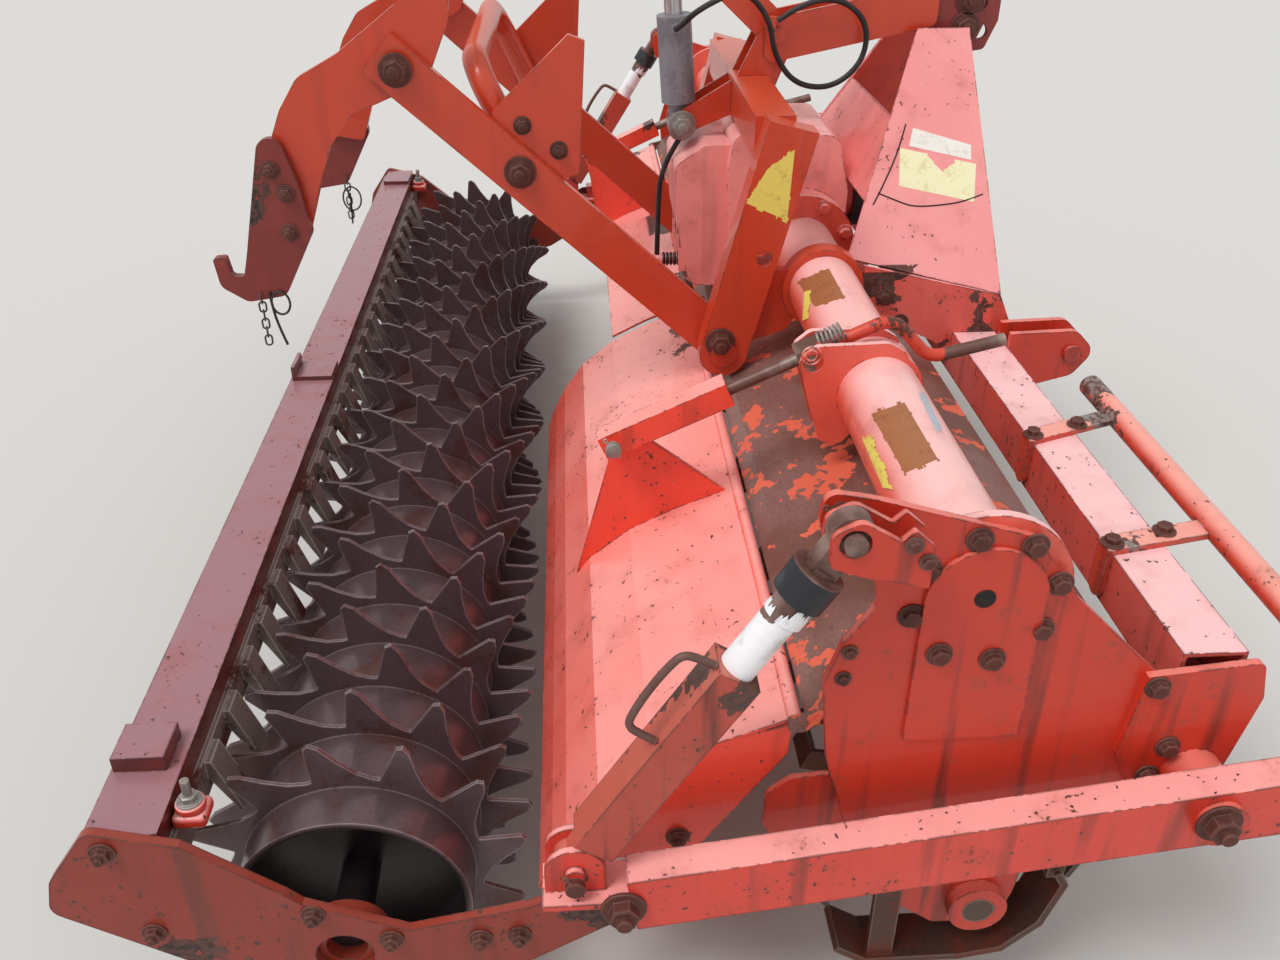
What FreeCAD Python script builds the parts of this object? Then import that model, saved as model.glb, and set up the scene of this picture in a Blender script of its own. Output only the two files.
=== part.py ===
import FreeCAD, Part
import Sketcher
import math
import os
import re

# Tractor-mounted rotavator with a toothed packer roller and a rear lift linkage.
# Frame: +X to the machine's right-hand end, +Y forwards to the tractor, +Z up, ground at Z = 0.
# Lengths are in millimetres. In the tables below Y is measured from the main cross tube's axis.
# Every sub-part is then moved by shift_y, so that the whole machine stands centred on its origin.

Vector = FreeCAD.Vector
Rotation = FreeCAD.Rotation

os.makedirs("parts", exist_ok=True)
doc = FreeCAD.newDocument("Rotavator")

# Driving dimensions: name, value, what it is

SIZES = [
    ("side_x", 1500, "outer face of each side plate"),
    ("side_t", 12, "thickness of each side plate"),
    ("axle_z", 832, "height of the main cross tube's axis"),
    ("tube_r", 70, "outer radius of the main cross tube"),
    ("tube_wall", 8, "wall of the main cross tube"),
    ("flange_r", 118, "radius of the flanges at the ends of the cross tube"),
    ("flange_t", 14, "thickness of those flanges"),
    ("flange_bolt_r", 95, "bolt circle radius on the side plate"),
    ("panel_r", 80, "radius of the raised panel inside the bolt circle"),
    ("panel_t", 7, "height of the raised panel"),
    ("panel_low_z", 600, "lower end of the raised panel"),
    ("case_x", 190, "face of the gearbox that the cross tube bolts to"),
    ("rotor_y", 74, "rotor axis"),
    ("rotor_z", 252, "rotor axis height"),
    ("rotor_tip_r", 252, "radius over the rotor blades"),
    ("rotor_tube_r", 45, "rotor tube radius"),
    ("rotor_end_x", 1478, "end of the rotor tube"),
    ("rotor_disc_r", 105, "radius of the blade flanges"),
    ("rotor_disc_t", 10, "thickness of the blade flanges"),
    ("rotor_pitch", 236, "spacing of the blade flanges"),
    ("journal_r", 25, "rotor journal radius"),
    ("bearing_r", 45, "outer radius of the rotor bearing housing"),
    ("bearing_t", 20, "depth of the rotor bearing housing"),
    ("eye_y", -196, "upper eye of the depth spindle"),
    ("eye_z", 975, "upper eye height"),
    ("ear_r", 28, "radius of the ear round the upper eye"),
    ("cheek_t", 10, "thickness of the ear's cheeks"),
    ("spindle_x", 1550, "middle plane of the depth spindle"),
    ("spindle_gap", 30, "gap between the cheeks that hold the spindle's eyes"),
    ("spindle_pin_r", 14, "spindle pin radius"),
    ("spindle_tube_w", 60, "width of the spindle's square tube"),
    ("spindle_tube_len", 348, "length of the square tube"),
    ("spindle_tube_wall", 5, "wall of the square tube"),
    ("spindle_rod_r", 20, "radius of the spindle's screw"),
    ("spindle_sleeve_r", 24, "radius of the white sleeve on the screw"),
    ("spindle_cap_r", 35, "radius of the black cap"),
    ("spindle_cap_len", 44, "length of the black cap"),
    ("arm_x", 1550, "inner face of the roller arm"),
    ("arm_w", 50, "width of the roller arm"),
    ("arm_d", 96, "depth of the roller arm"),
    ("arm_tilt", 8.5, "fall of the roller arm to the rear, in degrees"),
    ("arm_pivot_y", 338, "roller arm pivot"),
    ("arm_pivot_z", 520, "roller arm pivot height"),
    ("arm_pin_r", 22, "roller arm pivot pin radius"),
    ("arm_front", 122, "reach of the arm ahead of its pivot"),
    ("arm_rear", 802, "reach of the arm behind its pivot"),
    ("low_eye_y", -532, "lower eye of the depth spindle"),
    ("low_eye_z", 445, "lower eye height"),
    ("roller_y", -870, "roller axis"),
    ("roller_z", 265, "roller axis height, which is its tip radius"),
    ("roller_tip_r", 265, "radius over the roller's teeth"),
    ("drum_r", 178, "radius of the roller's drum"),
    ("scraper_gap", 22.8706, "gap from a scraper's tip to the drum"),
    ("scraper_rake", 32.18679, "a scraper tip's direction from the roller's axis, in degrees behind level"),
    ("drum_wall", 10, "wall of the drum"),
    ("drum_x", 1466, "end of the drum"),
    ("ring_x", 1391, "outermost tooth ring"),
    ("ring_t", 7, "thickness of a tooth ring"),
    ("ring_rim", 16, "height of the ring between its teeth"),
    ("roller_shaft_r", 30, "roller stub shaft radius"),
    ("beam_y", -1140, "middle of the roller's cross beam"),
    ("beam_w", 100, "width of the roller's cross beam"),
    ("beam_top_z", 515, "top of the roller's cross beam"),
    ("beam_d", 100, "depth of the roller's cross beam"),
    ("beam_wall", 8, "wall of the roller's cross beam"),
    ("end_plate_t", 15, "thickness of the roller's end plates"),
    ("front_beam_y", 339, "middle of the front beam"),
    ("front_beam_w", 90, "width of the front beam"),
    ("front_beam_top_z", 717, "top of the front beam"),
    ("front_beam_wall", 6, "wall of the front beam"),
    ("guard_y", 479, "guard rail axis"),
    ("guard_z", 725, "guard rail height"),
    ("guard_r", 21, "guard rail radius"),
    ("guard_in_x", 707, "inner end of the guard rail"),
    ("guard_out_x", 1480, "outer end of the guard rail"),
    ("clamp_in_x", 901, "rear end of the inner rail bar"),
    ("clamp_out_x", 1240, "rear end of the outer rail bar"),
    ("clamp_w", 40, "width of the rail bars"),
    ("clamp_t", 10, "thickness of the rail bars"),
    ("hitch_x", 482.5, "middle of each lower hitch clevis"),
    ("hitch_gap", 46, "gap between the clevis plates"),
    ("hitch_t", 14, "thickness of the clevis plates"),
    ("hitch_y", 518, "lower hitch pin"),
    ("hitch_z", 705, "lower hitch pin height"),
    ("hitch_pin_r", 18.3, "lower hitch pin radius"),
    ("hitch_lug_r", 50, "radius of the clevis plates round the pin"),
    ("top_y", 384, "top link pin"),
    ("top_z", 1316, "top link pin height"),
    ("top_bore_r", 16, "top link bore radius"),
    ("top_low_y", 391, "lower hole for the top link"),
    ("top_low_z", 1257, "height of that hole"),
    ("top_gap", 54, "gap between the top link plates"),
    ("top_t", 14, "thickness of the top link plates"),
    ("leg_low_x", 420, "headstock leg at its foot"),
    ("leg_low_z", 797, "height of the leg's foot"),
    ("leg_high_x", 76, "headstock leg at its head"),
    ("leg_high_z", 1268, "height of the leg's head"),
    ("leg_t", 8, "thickness of the headstock legs"),
    ("pto_z", 900, "input shaft height"),
    ("pto_r", 17.4, "input shaft radius"),
    ("pto_end_y", 300, "front end of the input shaft"),
    ("hinge_y", -223, "hinge line of the rear flap"),
    ("hinge_z", 612, "hinge line height"),
    ("hinge_r", 11, "radius of the flap's hinge tube"),
    ("hinge_pin_r", 6, "radius of the hinge pins"),
    ("hood_t", 6, "thickness of the hood's sheet"),
    ("flap_t", 5, "thickness of the flap's sheet"),
    ("flap_in_x", 14, "inner end of each flap"),
    ("flap_out_x", 1474, "outer end of each flap"),
    ("flap_end_t", 8, "thickness of the flap's end plate"),
    ("flap_hinge_gap", 4, "side gap between the flap's hinge tube and the hood's edge"),
    ("strut_x", 890, "plane of the flap strut"),
    ("trunnion_y", -115, "trunnion of the flap strut"),
    ("trunnion_z", 893, "trunnion height"),
    ("trunnion_r", 16, "trunnion radius"),
    ("strut_pin_y", -449, "strut's pin on the right flap"),
    ("strut_pin_z", 739, "height of that pin"),
    ("strut_pin_r", 8, "radius of that pin"),
    ("strut_w", 44, "width of the strut's square tube"),
    ("strut_len", 240, "length of the strut's square tube"),
    ("strut_rod_r", 11, "radius of the strut's screw"),
    ("lift_y", -203, "lower lift pivot on the post"),
    ("lift_z", 696, "lower lift pivot height"),
    ("lift_reach", 627, "horizontal reach of the lift arm"),
    ("lift_rise", 569, "rise of the lift arm"),
    ("lift_x", 380, "inner face of the lift arm"),
    ("lift_t", 20, "thickness of the lift arm"),
    ("lift_d", 90, "depth of the lift arm"),
    ("lift_pin_r", 16, "lift pivot pin radius"),
    ("arch_r", 26, "radius of the tube that joins the lift arms"),
    ("lift_gap", 1, "side gap between the lift's plates"),
    ("neck_t", 20, "thickness of the goosenecks"),
    ("post_w", 100, "depth of the lift post"),
    ("post_x_w", 60, "width of the lift post"),
    ("post_len", 482, "length of the lift post above its pivot"),
    ("post_lean", 14.4, "forward lean of the lift post, in degrees"),
    ("upper_y", -54, "upper lift pivot on the frame"),
    ("upper_z", 1258, "upper lift pivot height"),
    ("upper_half_gap", 32, "half the width of the upper arm"),
    ("cyl_y", -260, "cylinder's lower pin"),
    ("cyl_z", 1056, "cylinder's lower pin height"),
    ("cyl_r", 38, "radius of the cylinder's barrel"),
    ("cyl_len", 238, "barrel's length from its pin"),
    ("cyl_rod_r", 20, "radius of the cylinder's rod"),
    ("cyl_pin_r", 15, "radius of the cylinder's pins"),
    ("cyl_eye_reach", 236, "horizontal reach of the rod's eye behind the upper pivot"),
    ("cyl_eye_rise", 213, "rise of the rod's eye above the upper pivot"),
    ("hose_r", 6, "radius of the hydraulic hoses"),
    ("skid_z", 138, "underside of the skids"),
    ("skid_t", 12, "thickness of the skids"),
    ("skid_w", 80, "width of the skids"),
    ("skid_in", 60, "how far the skids reach in under the side plates"),
    ("play", 0.08, "radial clearance of a pin or shaft in its bore"),
    ("side_play", 0.3, "side clearance between pieces that move on each other"),
    ("rear_reach", -1258, "rearmost point, the tail of the roller's end plates"),
]

sheet = doc.addObject("Spreadsheet::Sheet", "Sizes")
for row, (alias, value, note) in enumerate(SIZES, start=1):
    sheet.set(f"A{row}", alias)
    sheet.set(f"B{row}", str(value))
    sheet.setAlias(f"B{row}", alias)
    sheet.set(f"C{row}", note)

# Values worked out from those: name, formula, what it is

DERIVED = [
    ("shift_y", "-(rear_reach + hitch_y + hitch_lug_r) / 2", "shift that centres the machine along Y"),
    ("leg_len", "sqrt((leg_low_x - leg_high_x)^2 + (leg_high_z - leg_low_z)^2)", "length of a headstock leg"),
    ("spindle_len", "sqrt((eye_y - low_eye_y)^2 + (eye_z - low_eye_z)^2)", "distance between the spindle's eyes"),
    ("lift_len", "sqrt(lift_reach^2 + lift_rise^2)", "distance between the lift arm's pivots"),
    ("neck_y", "lift_y - lift_reach", "gooseneck's pivot"),
    ("neck_z", "lift_z + lift_rise", "gooseneck's pivot height"),
    ("head_y", "upper_y - lift_reach", "rear pin of the upper arm"),
    ("head_z", "upper_z + lift_rise", "height of that pin"),
]
for row, (alias, formula, note) in enumerate(DERIVED, start=len(SIZES) + 2):
    sheet.set(f"A{row}", alias)
    sheet.set(f"B{row}", "=" + formula)
    sheet.setAlias(f"B{row}", alias)
    sheet.set(f"C{row}", note)
doc.recompute()

VALUE = {alias: value for alias, value, note in SIZES}
VALUE.update((alias, float(sheet.get(alias))) for alias, formula, note in DERIVED)
SIDES = (("right", 1), ("left", -1))
nodes = []


def bind(text):
    """Turn a formula of size names into an expression on the sheet."""
    return re.sub(r"[a-z][a-z_]+\w*", lambda m: "Sizes." + m.group() if m.group() in VALUE else m.group(), str(text))


def number(text):
    """The value of such a formula now."""
    return float(sheet.evalExpression(bind(text)))


def plane(body, role):
    return next(feature for feature in body.Origin.OriginFeatures if feature.Role == role)


def outline_pad(name, role, outline, thickness, offset, holes=()):
    """A plate: an outline of (u, v, corner radius) rows with round holes of (u, v, radius) rows."""
    body = doc.addObject("PartDesign::Body", name + "_body")
    sketch = body.newObject("Sketcher::SketchObject", name + "_outline")
    sketch.AttachmentSupport = [(plane(body, role), "")]
    sketch.MapMode = "FlatFace"
    sketch.setExpression("AttachmentOffset.Base.z", bind(offset))
    count = len(outline)
    corners = [Vector(number(u), number(v), 0) for u, v, radius in outline]
    lines = [Part.LineSegment(corners[i], corners[(i + 1) % count]) for i in range(count)]
    sketch.addGeometry(lines, False)
    for i in range(count):
        sketch.addConstraint(Sketcher.Constraint("Coincident", i, 2, (i + 1) % count, 1))
    for i, (u, v, radius) in enumerate(outline):
        for kind, formula, value in (("DistanceX", u, corners[i].x), ("DistanceY", v, corners[i].y)):
            index = sketch.addConstraint(Sketcher.Constraint(kind, -1, 1, i, 1, value))
            sketch.setExpression(f"Constraints[{index}]", bind(formula))
    for u, v, radius in holes:
        centre = Vector(number(u), number(v), 0)
        hole = sketch.addGeometry(Part.Circle(centre, Vector(0, 0, 1), number(radius)), False)
        for kind, formula, value in (("DistanceX", u, centre.x), ("DistanceY", v, centre.y)):
            index = sketch.addConstraint(Sketcher.Constraint(kind, -1, 1, hole, 3, value))
            sketch.setExpression(f"Constraints[{index}]", bind(formula))
        index = sketch.addConstraint(Sketcher.Constraint("Radius", hole, number(radius)))
        sketch.setExpression(f"Constraints[{index}]", bind(radius))
    pad = body.newObject("PartDesign::Pad", name + "_pad")
    pad.Profile = sketch
    pad.setExpression("Length", bind(thickness))
    sketch.Visibility = False
    body.Tip = pad
    doc.recompute()
    round_corners(body, pad, name, outline, corners, sketch)
    return body


def round_corners(body, pad, name, outline, corners, sketch):
    """Fillet the plate's corners, one feature for each radius used."""
    step = pad
    for radius in sorted({str(row[2]) for row in outline if str(row[2]) != "0"}):
        wanted = [sketch.getGlobalPlacement().multVec(corner)
                  for corner, row in zip(corners, outline) if str(row[2]) == radius]
        normal = sketch.getGlobalPlacement().Rotation.multVec(Vector(0, 0, 1))
        names = []
        for i, edge in enumerate(step.Shape.Edges, start=1):
            if len(edge.Vertexes) != 2:
                continue
            run = edge.Vertexes[1].Point - edge.Vertexes[0].Point
            if run.cross(normal).Length > 1e-6 * max(run.Length, 1):
                continue
            for corner in wanted:
                away = edge.Vertexes[0].Point - corner
                if away.cross(normal).Length < 1e-4:
                    names.append(f"Edge{i}")
        fillet = body.newObject("PartDesign::Fillet", f"{name}_round_{len(body.Group)}")
        fillet.Base = (step, names)
        fillet.setExpression("Radius", bind(radius))
        body.Tip = fillet
        doc.recompute()
        step = fillet


def side_plate_pad(name, sign, outline, inner, thickness, holes=()):
    """A plate across X, on the right or mirrored to the left."""
    offset = inner if sign > 0 else f"-(({inner}) + ({thickness}))"
    return outline_pad(name, "YZ_Plane", outline, thickness, offset, holes)


def cylinder_x(name, y, z, radius, start, length):
    """A cylinder along X."""
    solid = doc.addObject("Part::Cylinder", name)
    solid.Placement = FreeCAD.Placement(Vector(), Rotation(Vector(0, 1, 0), 90))
    solid.setExpression("Radius", bind(radius))
    solid.setExpression("Height", bind(length))
    solid.setExpression("Placement.Base.x", bind(start))
    solid.setExpression("Placement.Base.y", bind(y))
    solid.setExpression("Placement.Base.z", bind(z))
    return solid


def side_cylinder(name, sign, y, z, radius, inner, length):
    start = inner if sign > 0 else f"-(({inner}) + ({length}))"
    return cylinder_x(name, y, z, radius, start, length)


def cylinder_y(name, x, z, radius, start, length):
    """A cylinder along Y."""
    solid = doc.addObject("Part::Cylinder", name)
    solid.Placement = FreeCAD.Placement(Vector(), Rotation(Vector(1, 0, 0), -90))
    solid.setExpression("Radius", bind(radius))
    solid.setExpression("Height", bind(length))
    solid.setExpression("Placement.Base.x", bind(x))
    solid.setExpression("Placement.Base.y", bind(start))
    solid.setExpression("Placement.Base.z", bind(z))
    return solid


def block(name, low, size):
    """A box from its low corner and its size, both as three formulas."""
    solid = doc.addObject("Part::Box", name)
    for prop, formula in zip(("Length", "Width", "Height"), size):
        solid.setExpression(prop, bind(formula))
    for axis, formula in zip("xyz", low):
        solid.setExpression(f"Placement.Base.{axis}", bind(formula))
    return solid


def side_block(name, sign, low, size):
    """A box on the right, or its mirror on the left."""
    x = low[0] if sign > 0 else f"-(({low[0]}) + ({size[0]}))"
    return block(name, (x, low[1], low[2]), size)


def fuse(name, shapes):
    result = doc.addObject("Part::MultiFuse", name)
    result.Shapes = shapes
    return result


def cut(name, base, tool):
    result = doc.addObject("Part::Cut", name)
    result.Base = base
    result.Tool = tool
    return result


def node(obj, name):
    """Label a finished sub-part and move it to the machine's own origin."""
    obj.Label = name
    own = dict(obj.ExpressionEngine)
    held = own.get("Placement.Base.y", own.get(".Placement.Base.y", f"{obj.Placement.Base.y:.4f}"))
    obj.setExpression("Placement.Base.y", f"Sizes.shift_y + {held}")
    nodes.append((name, obj))
    return obj


def shaped(name, shape):
    """A sub-part whose shape is made with shape functions."""
    feature = doc.addObject("Part::Feature", name)
    feature.Shape = shape
    return feature


def bent_bar(points, radius, bends):
    """A round bar along straight runs, with an arc of its own radius at each corner between them."""
    edges = []
    start = points[0]
    for i, bend in zip(range(1, len(points) - 1), bends):
        before = (points[i - 1] - points[i]).normalize()
        after = (points[i + 1] - points[i]).normalize()
        half = before.getAngle(after) / 2
        setback = bend / math.tan(half)
        first = points[i] + before * setback
        last = points[i] + after * setback
        middle_way = (before + after).normalize()
        centre_distance = bend / math.sin(half)
        middle = points[i] + middle_way * (centre_distance - bend)
        edges.append(Part.LineSegment(start, first).toShape())
        edges.append(Part.Arc(first, middle, last).toShape())
        start = last
    edges.append(Part.LineSegment(start, points[-1]).toShape())
    path = Part.Wire(edges)
    direction = (points[1] - points[0]).normalize()
    profile = Part.Wire([Part.Circle(points[0], direction, radius).toShape()])
    return path.makePipeShell([profile], True, True)


def hose_bends(points):
    """Each corner's radius: its arc takes up nine tenths of the shorter run beside it."""
    bends = []
    for before, corner, after in zip(points, points[1:], points[2:]):
        turn = (corner - before).getAngle(after - corner)
        bends.append(0.45 * min((corner - before).Length, (after - corner).Length) / math.tan(turn / 2))
    return bends


def sheet_outline(points, thickness):
    """Rows for a bent sheet: the given line, and back along a line one thickness to its right."""
    flat = [Vector(number(u), number(v), 0) for u, v in points]
    normals = []
    for a, b in zip(flat, flat[1:]):
        run = (b - a).normalize()
        normals.append(Vector(run.y, -run.x, 0))
    back = []
    for i, (u, v) in enumerate(points):
        near = normals[max(i - 1, 0)]
        far = normals[min(i, len(normals) - 1)]
        mitre = (near + far) * (1 / (1 + near.dot(far)))
        back.append((f"({u}) + {mitre.x:.5f} * {thickness}", f"({v}) + {mitre.y:.5f} * {thickness}", 0))
    return [(u, v, 0) for u, v in points] + back[::-1]


# Side plates, with the ear for the spindle and the raised panel inside the bolt circle

SIDE_OUTLINE = [
    # y, z, corner radius
    ("eye_y - ear_r + 2", "eye_z - 14", 12),
    ("eye_y - ear_r + 8", "eye_z + ear_r - 4", 16),
    ("eye_y + 40", "eye_z + 12", 0),
    (52, "axle_z + 92", 20),
    (124, "axle_z - 6", 12),
    (194, 757, 12),
    (262, 690, 0),
    (262, 480, 0),
    (240, 400, 12),
    (142, 370, 16),
    ("rotor_y + 58", "rotor_z + 20", 0),
    ("rotor_y + 44", "rotor_z - 46", 24),
    ("rotor_y - 60", "rotor_z - 46", 20),
    (-70, 270, 0),
    (-132, 399, 0),
    (-181, 563, 0),
    (-196, 701, 12),
    (-175, 770, 0),
    (-136, 828, 20),
    ("eye_y + 44", "eye_z - ear_r - 50", 14),
    ("eye_y - 16", "eye_z - ear_r - 26", 14),
]

CHEEK_OUTLINE = [
    ("eye_y - ear_r", "eye_z - ear_r - 4", 12),
    ("eye_y - ear_r", "eye_z + 12", 18),
    ("eye_y + 6", "eye_z + ear_r + 2", 18),
    ("eye_y + 53", "eye_z + 1", 0),
    ("eye_y + 68", "eye_z + 16", 4),
    ("eye_y + 93", "eye_z - 7", 0),
    ("eye_y + 93", "eye_z - 66", 0),
    ("eye_y + 10", "eye_z - ear_r - 18", 20),
]
APRON_OUTLINE = [
    (-118, 400, 0),
    (-170, 523, 0),
    (-225, 518, 16),
    (-259, 489, 16),
    (-261, 428, 20),
    (-200, 330, 20),
    (-90, 320, 0),
]
for side, sign in SIDES:
    eye_hole = [("eye_y", "eye_z", "spindle_pin_r + 5")]
    pieces = [side_plate_pad("side_" + side, sign, SIDE_OUTLINE, "side_x - side_t", "side_t",
                             [("rotor_y", "rotor_z", "journal_r + 6")])]
    pieces.append(side_plate_pad("apron_" + side, sign, APRON_OUTLINE, "side_x - side_t - 8", "9"))
    pieces.append(side_cylinder("panel_disc_" + side, sign, 0, "axle_z", "panel_r", "side_x - 1", "panel_t + 1"))
    pieces.append(side_block("panel_strip_" + side, sign, ("side_x - 1", "-panel_r", "panel_low_z"),
                             ("panel_t + 1", "2 * panel_r", "axle_z - panel_low_z")))
    for place, start in (("in", "spindle_x - spindle_gap / 2 - cheek_t"), ("out", "spindle_x + spindle_gap / 2")):
        pieces.append(side_plate_pad(f"cheek_{place}_{side}", sign, CHEEK_OUTLINE, start, "cheek_t", eye_hole))
    pieces.append(side_block("cheek_web_" + side, sign, ("side_x", "eye_y + 82", "eye_z - 66"),
                             ("spindle_x + spindle_gap / 2 + 1 - side_x", "cheek_t", 32)))
    node(fuse("side_plate_" + side, pieces), "side_plate_" + side)

# Front brackets, with the boss and pin that the roller arm swings on

BRACKET_OUTLINE = [
    (239, 700, 0),
    (395, 717, 12),
    (409, 655, 12),
    ("arm_pivot_y + 50", "arm_pivot_z + 20", 20),
    ("arm_pivot_y + 36", "arm_pivot_z - 46", 20),
    ("arm_pivot_y - 30", "arm_pivot_z - 56", 20),
    (262, 480, 12),
    (225, 560, 0),
]
for side, sign in SIDES:
    plate = side_plate_pad("bracket_" + side, sign, BRACKET_OUTLINE, "side_x", "side_t")
    boss = side_cylinder("arm_boss_" + side, sign, "arm_pivot_y", "arm_pivot_z", "arm_pin_r * 2",
                         "side_x + side_t - 1", "arm_x - side_x - side_t + 1 - side_play")
    pin = side_cylinder("arm_pin_" + side, sign, "arm_pivot_y", "arm_pivot_z", "arm_pin_r",
                        "arm_x - 2", "arm_w + 12")
    head = side_cylinder("arm_pin_head_" + side, sign, "arm_pivot_y", "arm_pivot_z", "arm_pin_r + 14",
                         "arm_x + arm_w + side_play", 12)
    node(fuse("front_bracket_" + side, [plate, boss, pin, head]), "front_bracket_" + side)

# Main cross tube, one half each side of the gearbox

for side, sign in SIDES:
    start = "case_x"
    length = "side_x - side_t - case_x"
    outer = side_cylinder("tube_outer_" + side, sign, 0, "axle_z", "tube_r", start, length)
    end = side_cylinder("tube_end_" + side, sign, 0, "axle_z", "flange_r", "side_x - side_t - flange_t", "flange_t")
    root = side_cylinder("tube_root_" + side, sign, 0, "axle_z", "flange_r", start, "flange_t")
    bore = side_cylinder("tube_bore_" + side, sign, 0, "axle_z", "tube_r - tube_wall", "case_x - 10",
                         "side_x - case_x + 20")
    node(cut("tube_cut_" + side, fuse("tube_whole_" + side, [outer, end, root]), bore), "cross_tube_" + side)

# Gearbox, input shaft and its guard

case_main = outline_pad("case_main", "YZ_Plane", [
    (-150, 728, 20),
    (-164, 1000, 0),
    (-154, 1070, 26),
    (76, 1066, 30),
    (105, 945, 30),
    (104, 760, 30),
    (60, 728, 20),
], 300, -150)
case_neck = cylinder_x("case_neck", 0, "axle_z", "flange_r", "-case_x", "2 * case_x")
case_rear = outline_pad("case_rear", "YZ_Plane", [
    (-140, 716, 0),
    (-244, 716, 30),
    (-272, 860, 0),
    (-281, 996, 26),
    (-214, 1040, 26),
    (-140, 1040, 0),
], 240, -120)
case_ribs = [block(f"case_rib_{i}", (x, -266, 740), (12, 20, 250)) for i, x in enumerate((-90, -36, 24, 78))]
case_nose = cylinder_y("case_nose", 0, "pto_z", 60, 95, 45)
case_port = cylinder_y("case_port", 50, 757, "2 * hose_r", -322, 82)
case_all = fuse("case_all", [case_main, case_neck, case_rear, case_nose, case_port, *case_ribs])
node(case_all, "gearbox")

shaft = cylinder_y("shaft_bar", 0, "pto_z", "pto_r", 140, "pto_end_y - 140")
node(shaft, "input_shaft")

guard_out = cylinder_y("guard_out", 0, "pto_z", 82, 140, 150)
guard_in = cylinder_y("guard_in", 0, "pto_z", 77, 144, 160)
guard_bore = cylinder_y("guard_bore", 0, "pto_z", "pto_r + 2", 130, 30)
guard_cup = cut("guard_cup", guard_out, guard_in)
node(cut("guard_cut", guard_cup, guard_bore), "shaft_guard")

# Gear case of the side drive, on the left side plate

CASE_OUTLINE = [
    (-118, "axle_z", 0),
    ("rotor_y - 92", "rotor_z", 0),
    ("rotor_y + 92", "rotor_z", 0),
    (118, "axle_z", 0),
]
drive_mid = side_plate_pad("drive_mid", -1, CASE_OUTLINE, "side_x + panel_t", "36 - panel_t")
drive_top = side_cylinder("drive_top", -1, 0, "axle_z", 118, "side_x + panel_t", "36 - panel_t")
drive_low = side_cylinder("drive_low", -1, "rotor_y", "rotor_z", 92, "side_x + panel_t", "36 - panel_t")
drive_bearing = side_cylinder("drive_bearing", -1, "rotor_y", "rotor_z", "bearing_r", "side_x", "panel_t + 1")
drive_bore = side_cylinder("drive_bore", -1, "rotor_y", "rotor_z", "journal_r + play", "side_x - 2", 26)
node(cut("drive_cut", fuse("drive_all", [drive_mid, drive_top, drive_low, drive_bearing]), drive_bore), "side_drive_case")

# Rotor bearing on the right, and the skids

bearing_ring = cylinder_x("bearing_ring", "rotor_y", "rotor_z", "bearing_r", "side_x", "bearing_t")
bearing_bore = cylinder_x("bearing_bore", "rotor_y", "rotor_z", "journal_r + play", "side_x - 2", "bearing_t + 4")
node(cut("bearing_cut", bearing_ring, bearing_bore), "rotor_bearing")

SKID_LINE = [
    (190, 328),
    (206, 300),
    (182, "skid_z + 72"),
    (128, "skid_z + 14"),
    (60, "skid_z"),
    (-90, "skid_z"),
    (-140, "skid_z + 34"),
]
for side, sign in SIDES:
    strip = side_plate_pad("skid_strip_" + side, sign, sheet_outline(SKID_LINE, "skid_t"), "side_x - skid_in",
                           "skid_w")
    post_rear = side_block("skid_rear_" + side, sign, ("side_x", -85, "skid_z + 2"), ("side_t", 40, 200))
    post_front = side_block("skid_front_" + side, sign, ("side_x", 172, 310), ("side_t", 26, 120))
    node(fuse("skid_" + side, [strip, post_rear, post_front]), "skid_" + side)

# Hood over the rotor

HOOD_LINE = [
    ("hinge_y + hinge_r + flap_hinge_gap", "hinge_z + 4"),
    (-185, 640),
    (-130, 668),
    (70, 722),
    (150, 716),
    (226, 690),
    (232, 560),
]
hood = outline_pad("hood", "YZ_Plane", sheet_outline(HOOD_LINE, "hood_t"), "2 * (side_x - side_t)",
                   "-(side_x - side_t)")
HINGE_LUG = [
    ("hinge_y - hinge_r", "hinge_z - hinge_r", 8),
    ("hinge_y - hinge_r", "hinge_z + hinge_r", 8),
    (-190, 634, 0),
    (-190, 614, 0),
    ("hinge_y + hinge_r", "hinge_z - hinge_r", 0),
]
hood_pieces = [hood]
for name, start, length, pin_start, pin_length in (
        ("right", "flap_out_x + side_play", 10, "flap_out_x - 40", "50"),
        ("left", "-flap_out_x - side_play - 10", 10, "-flap_out_x - 10", "50"),
        ("middle", "-flap_in_x + side_play", "2 * (flap_in_x - side_play)", "-flap_in_x - 40", "2 * flap_in_x + 80")):
    hood_pieces.append(outline_pad("hinge_lug_" + name, "YZ_Plane", HINGE_LUG, length, start))
    hood_pieces.append(cylinder_x("hinge_pin_" + name, "hinge_y", "hinge_z", "hinge_pin_r", pin_start, pin_length))
node(fuse("hood_all", hood_pieces), "hood_deck")

# Front beam

beam_out = block("beam_out", ("-(side_x - side_t)", "front_beam_y - front_beam_w / 2", "front_beam_top_z - front_beam_w"),
                 ("2 * (side_x - side_t)", "front_beam_w", "front_beam_w"))
beam_in = block("beam_in", ("-side_x", "front_beam_y - front_beam_w / 2 + front_beam_wall",
                            "front_beam_top_z - front_beam_w + front_beam_wall"),
                ("2 * side_x", "front_beam_w - 2 * front_beam_wall", "front_beam_w - 2 * front_beam_wall"))
node(cut("beam_cut", beam_out, beam_in), "front_beam")

# Guard rails, each on two bars over the front beam, with a strap down its rear face

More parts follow.
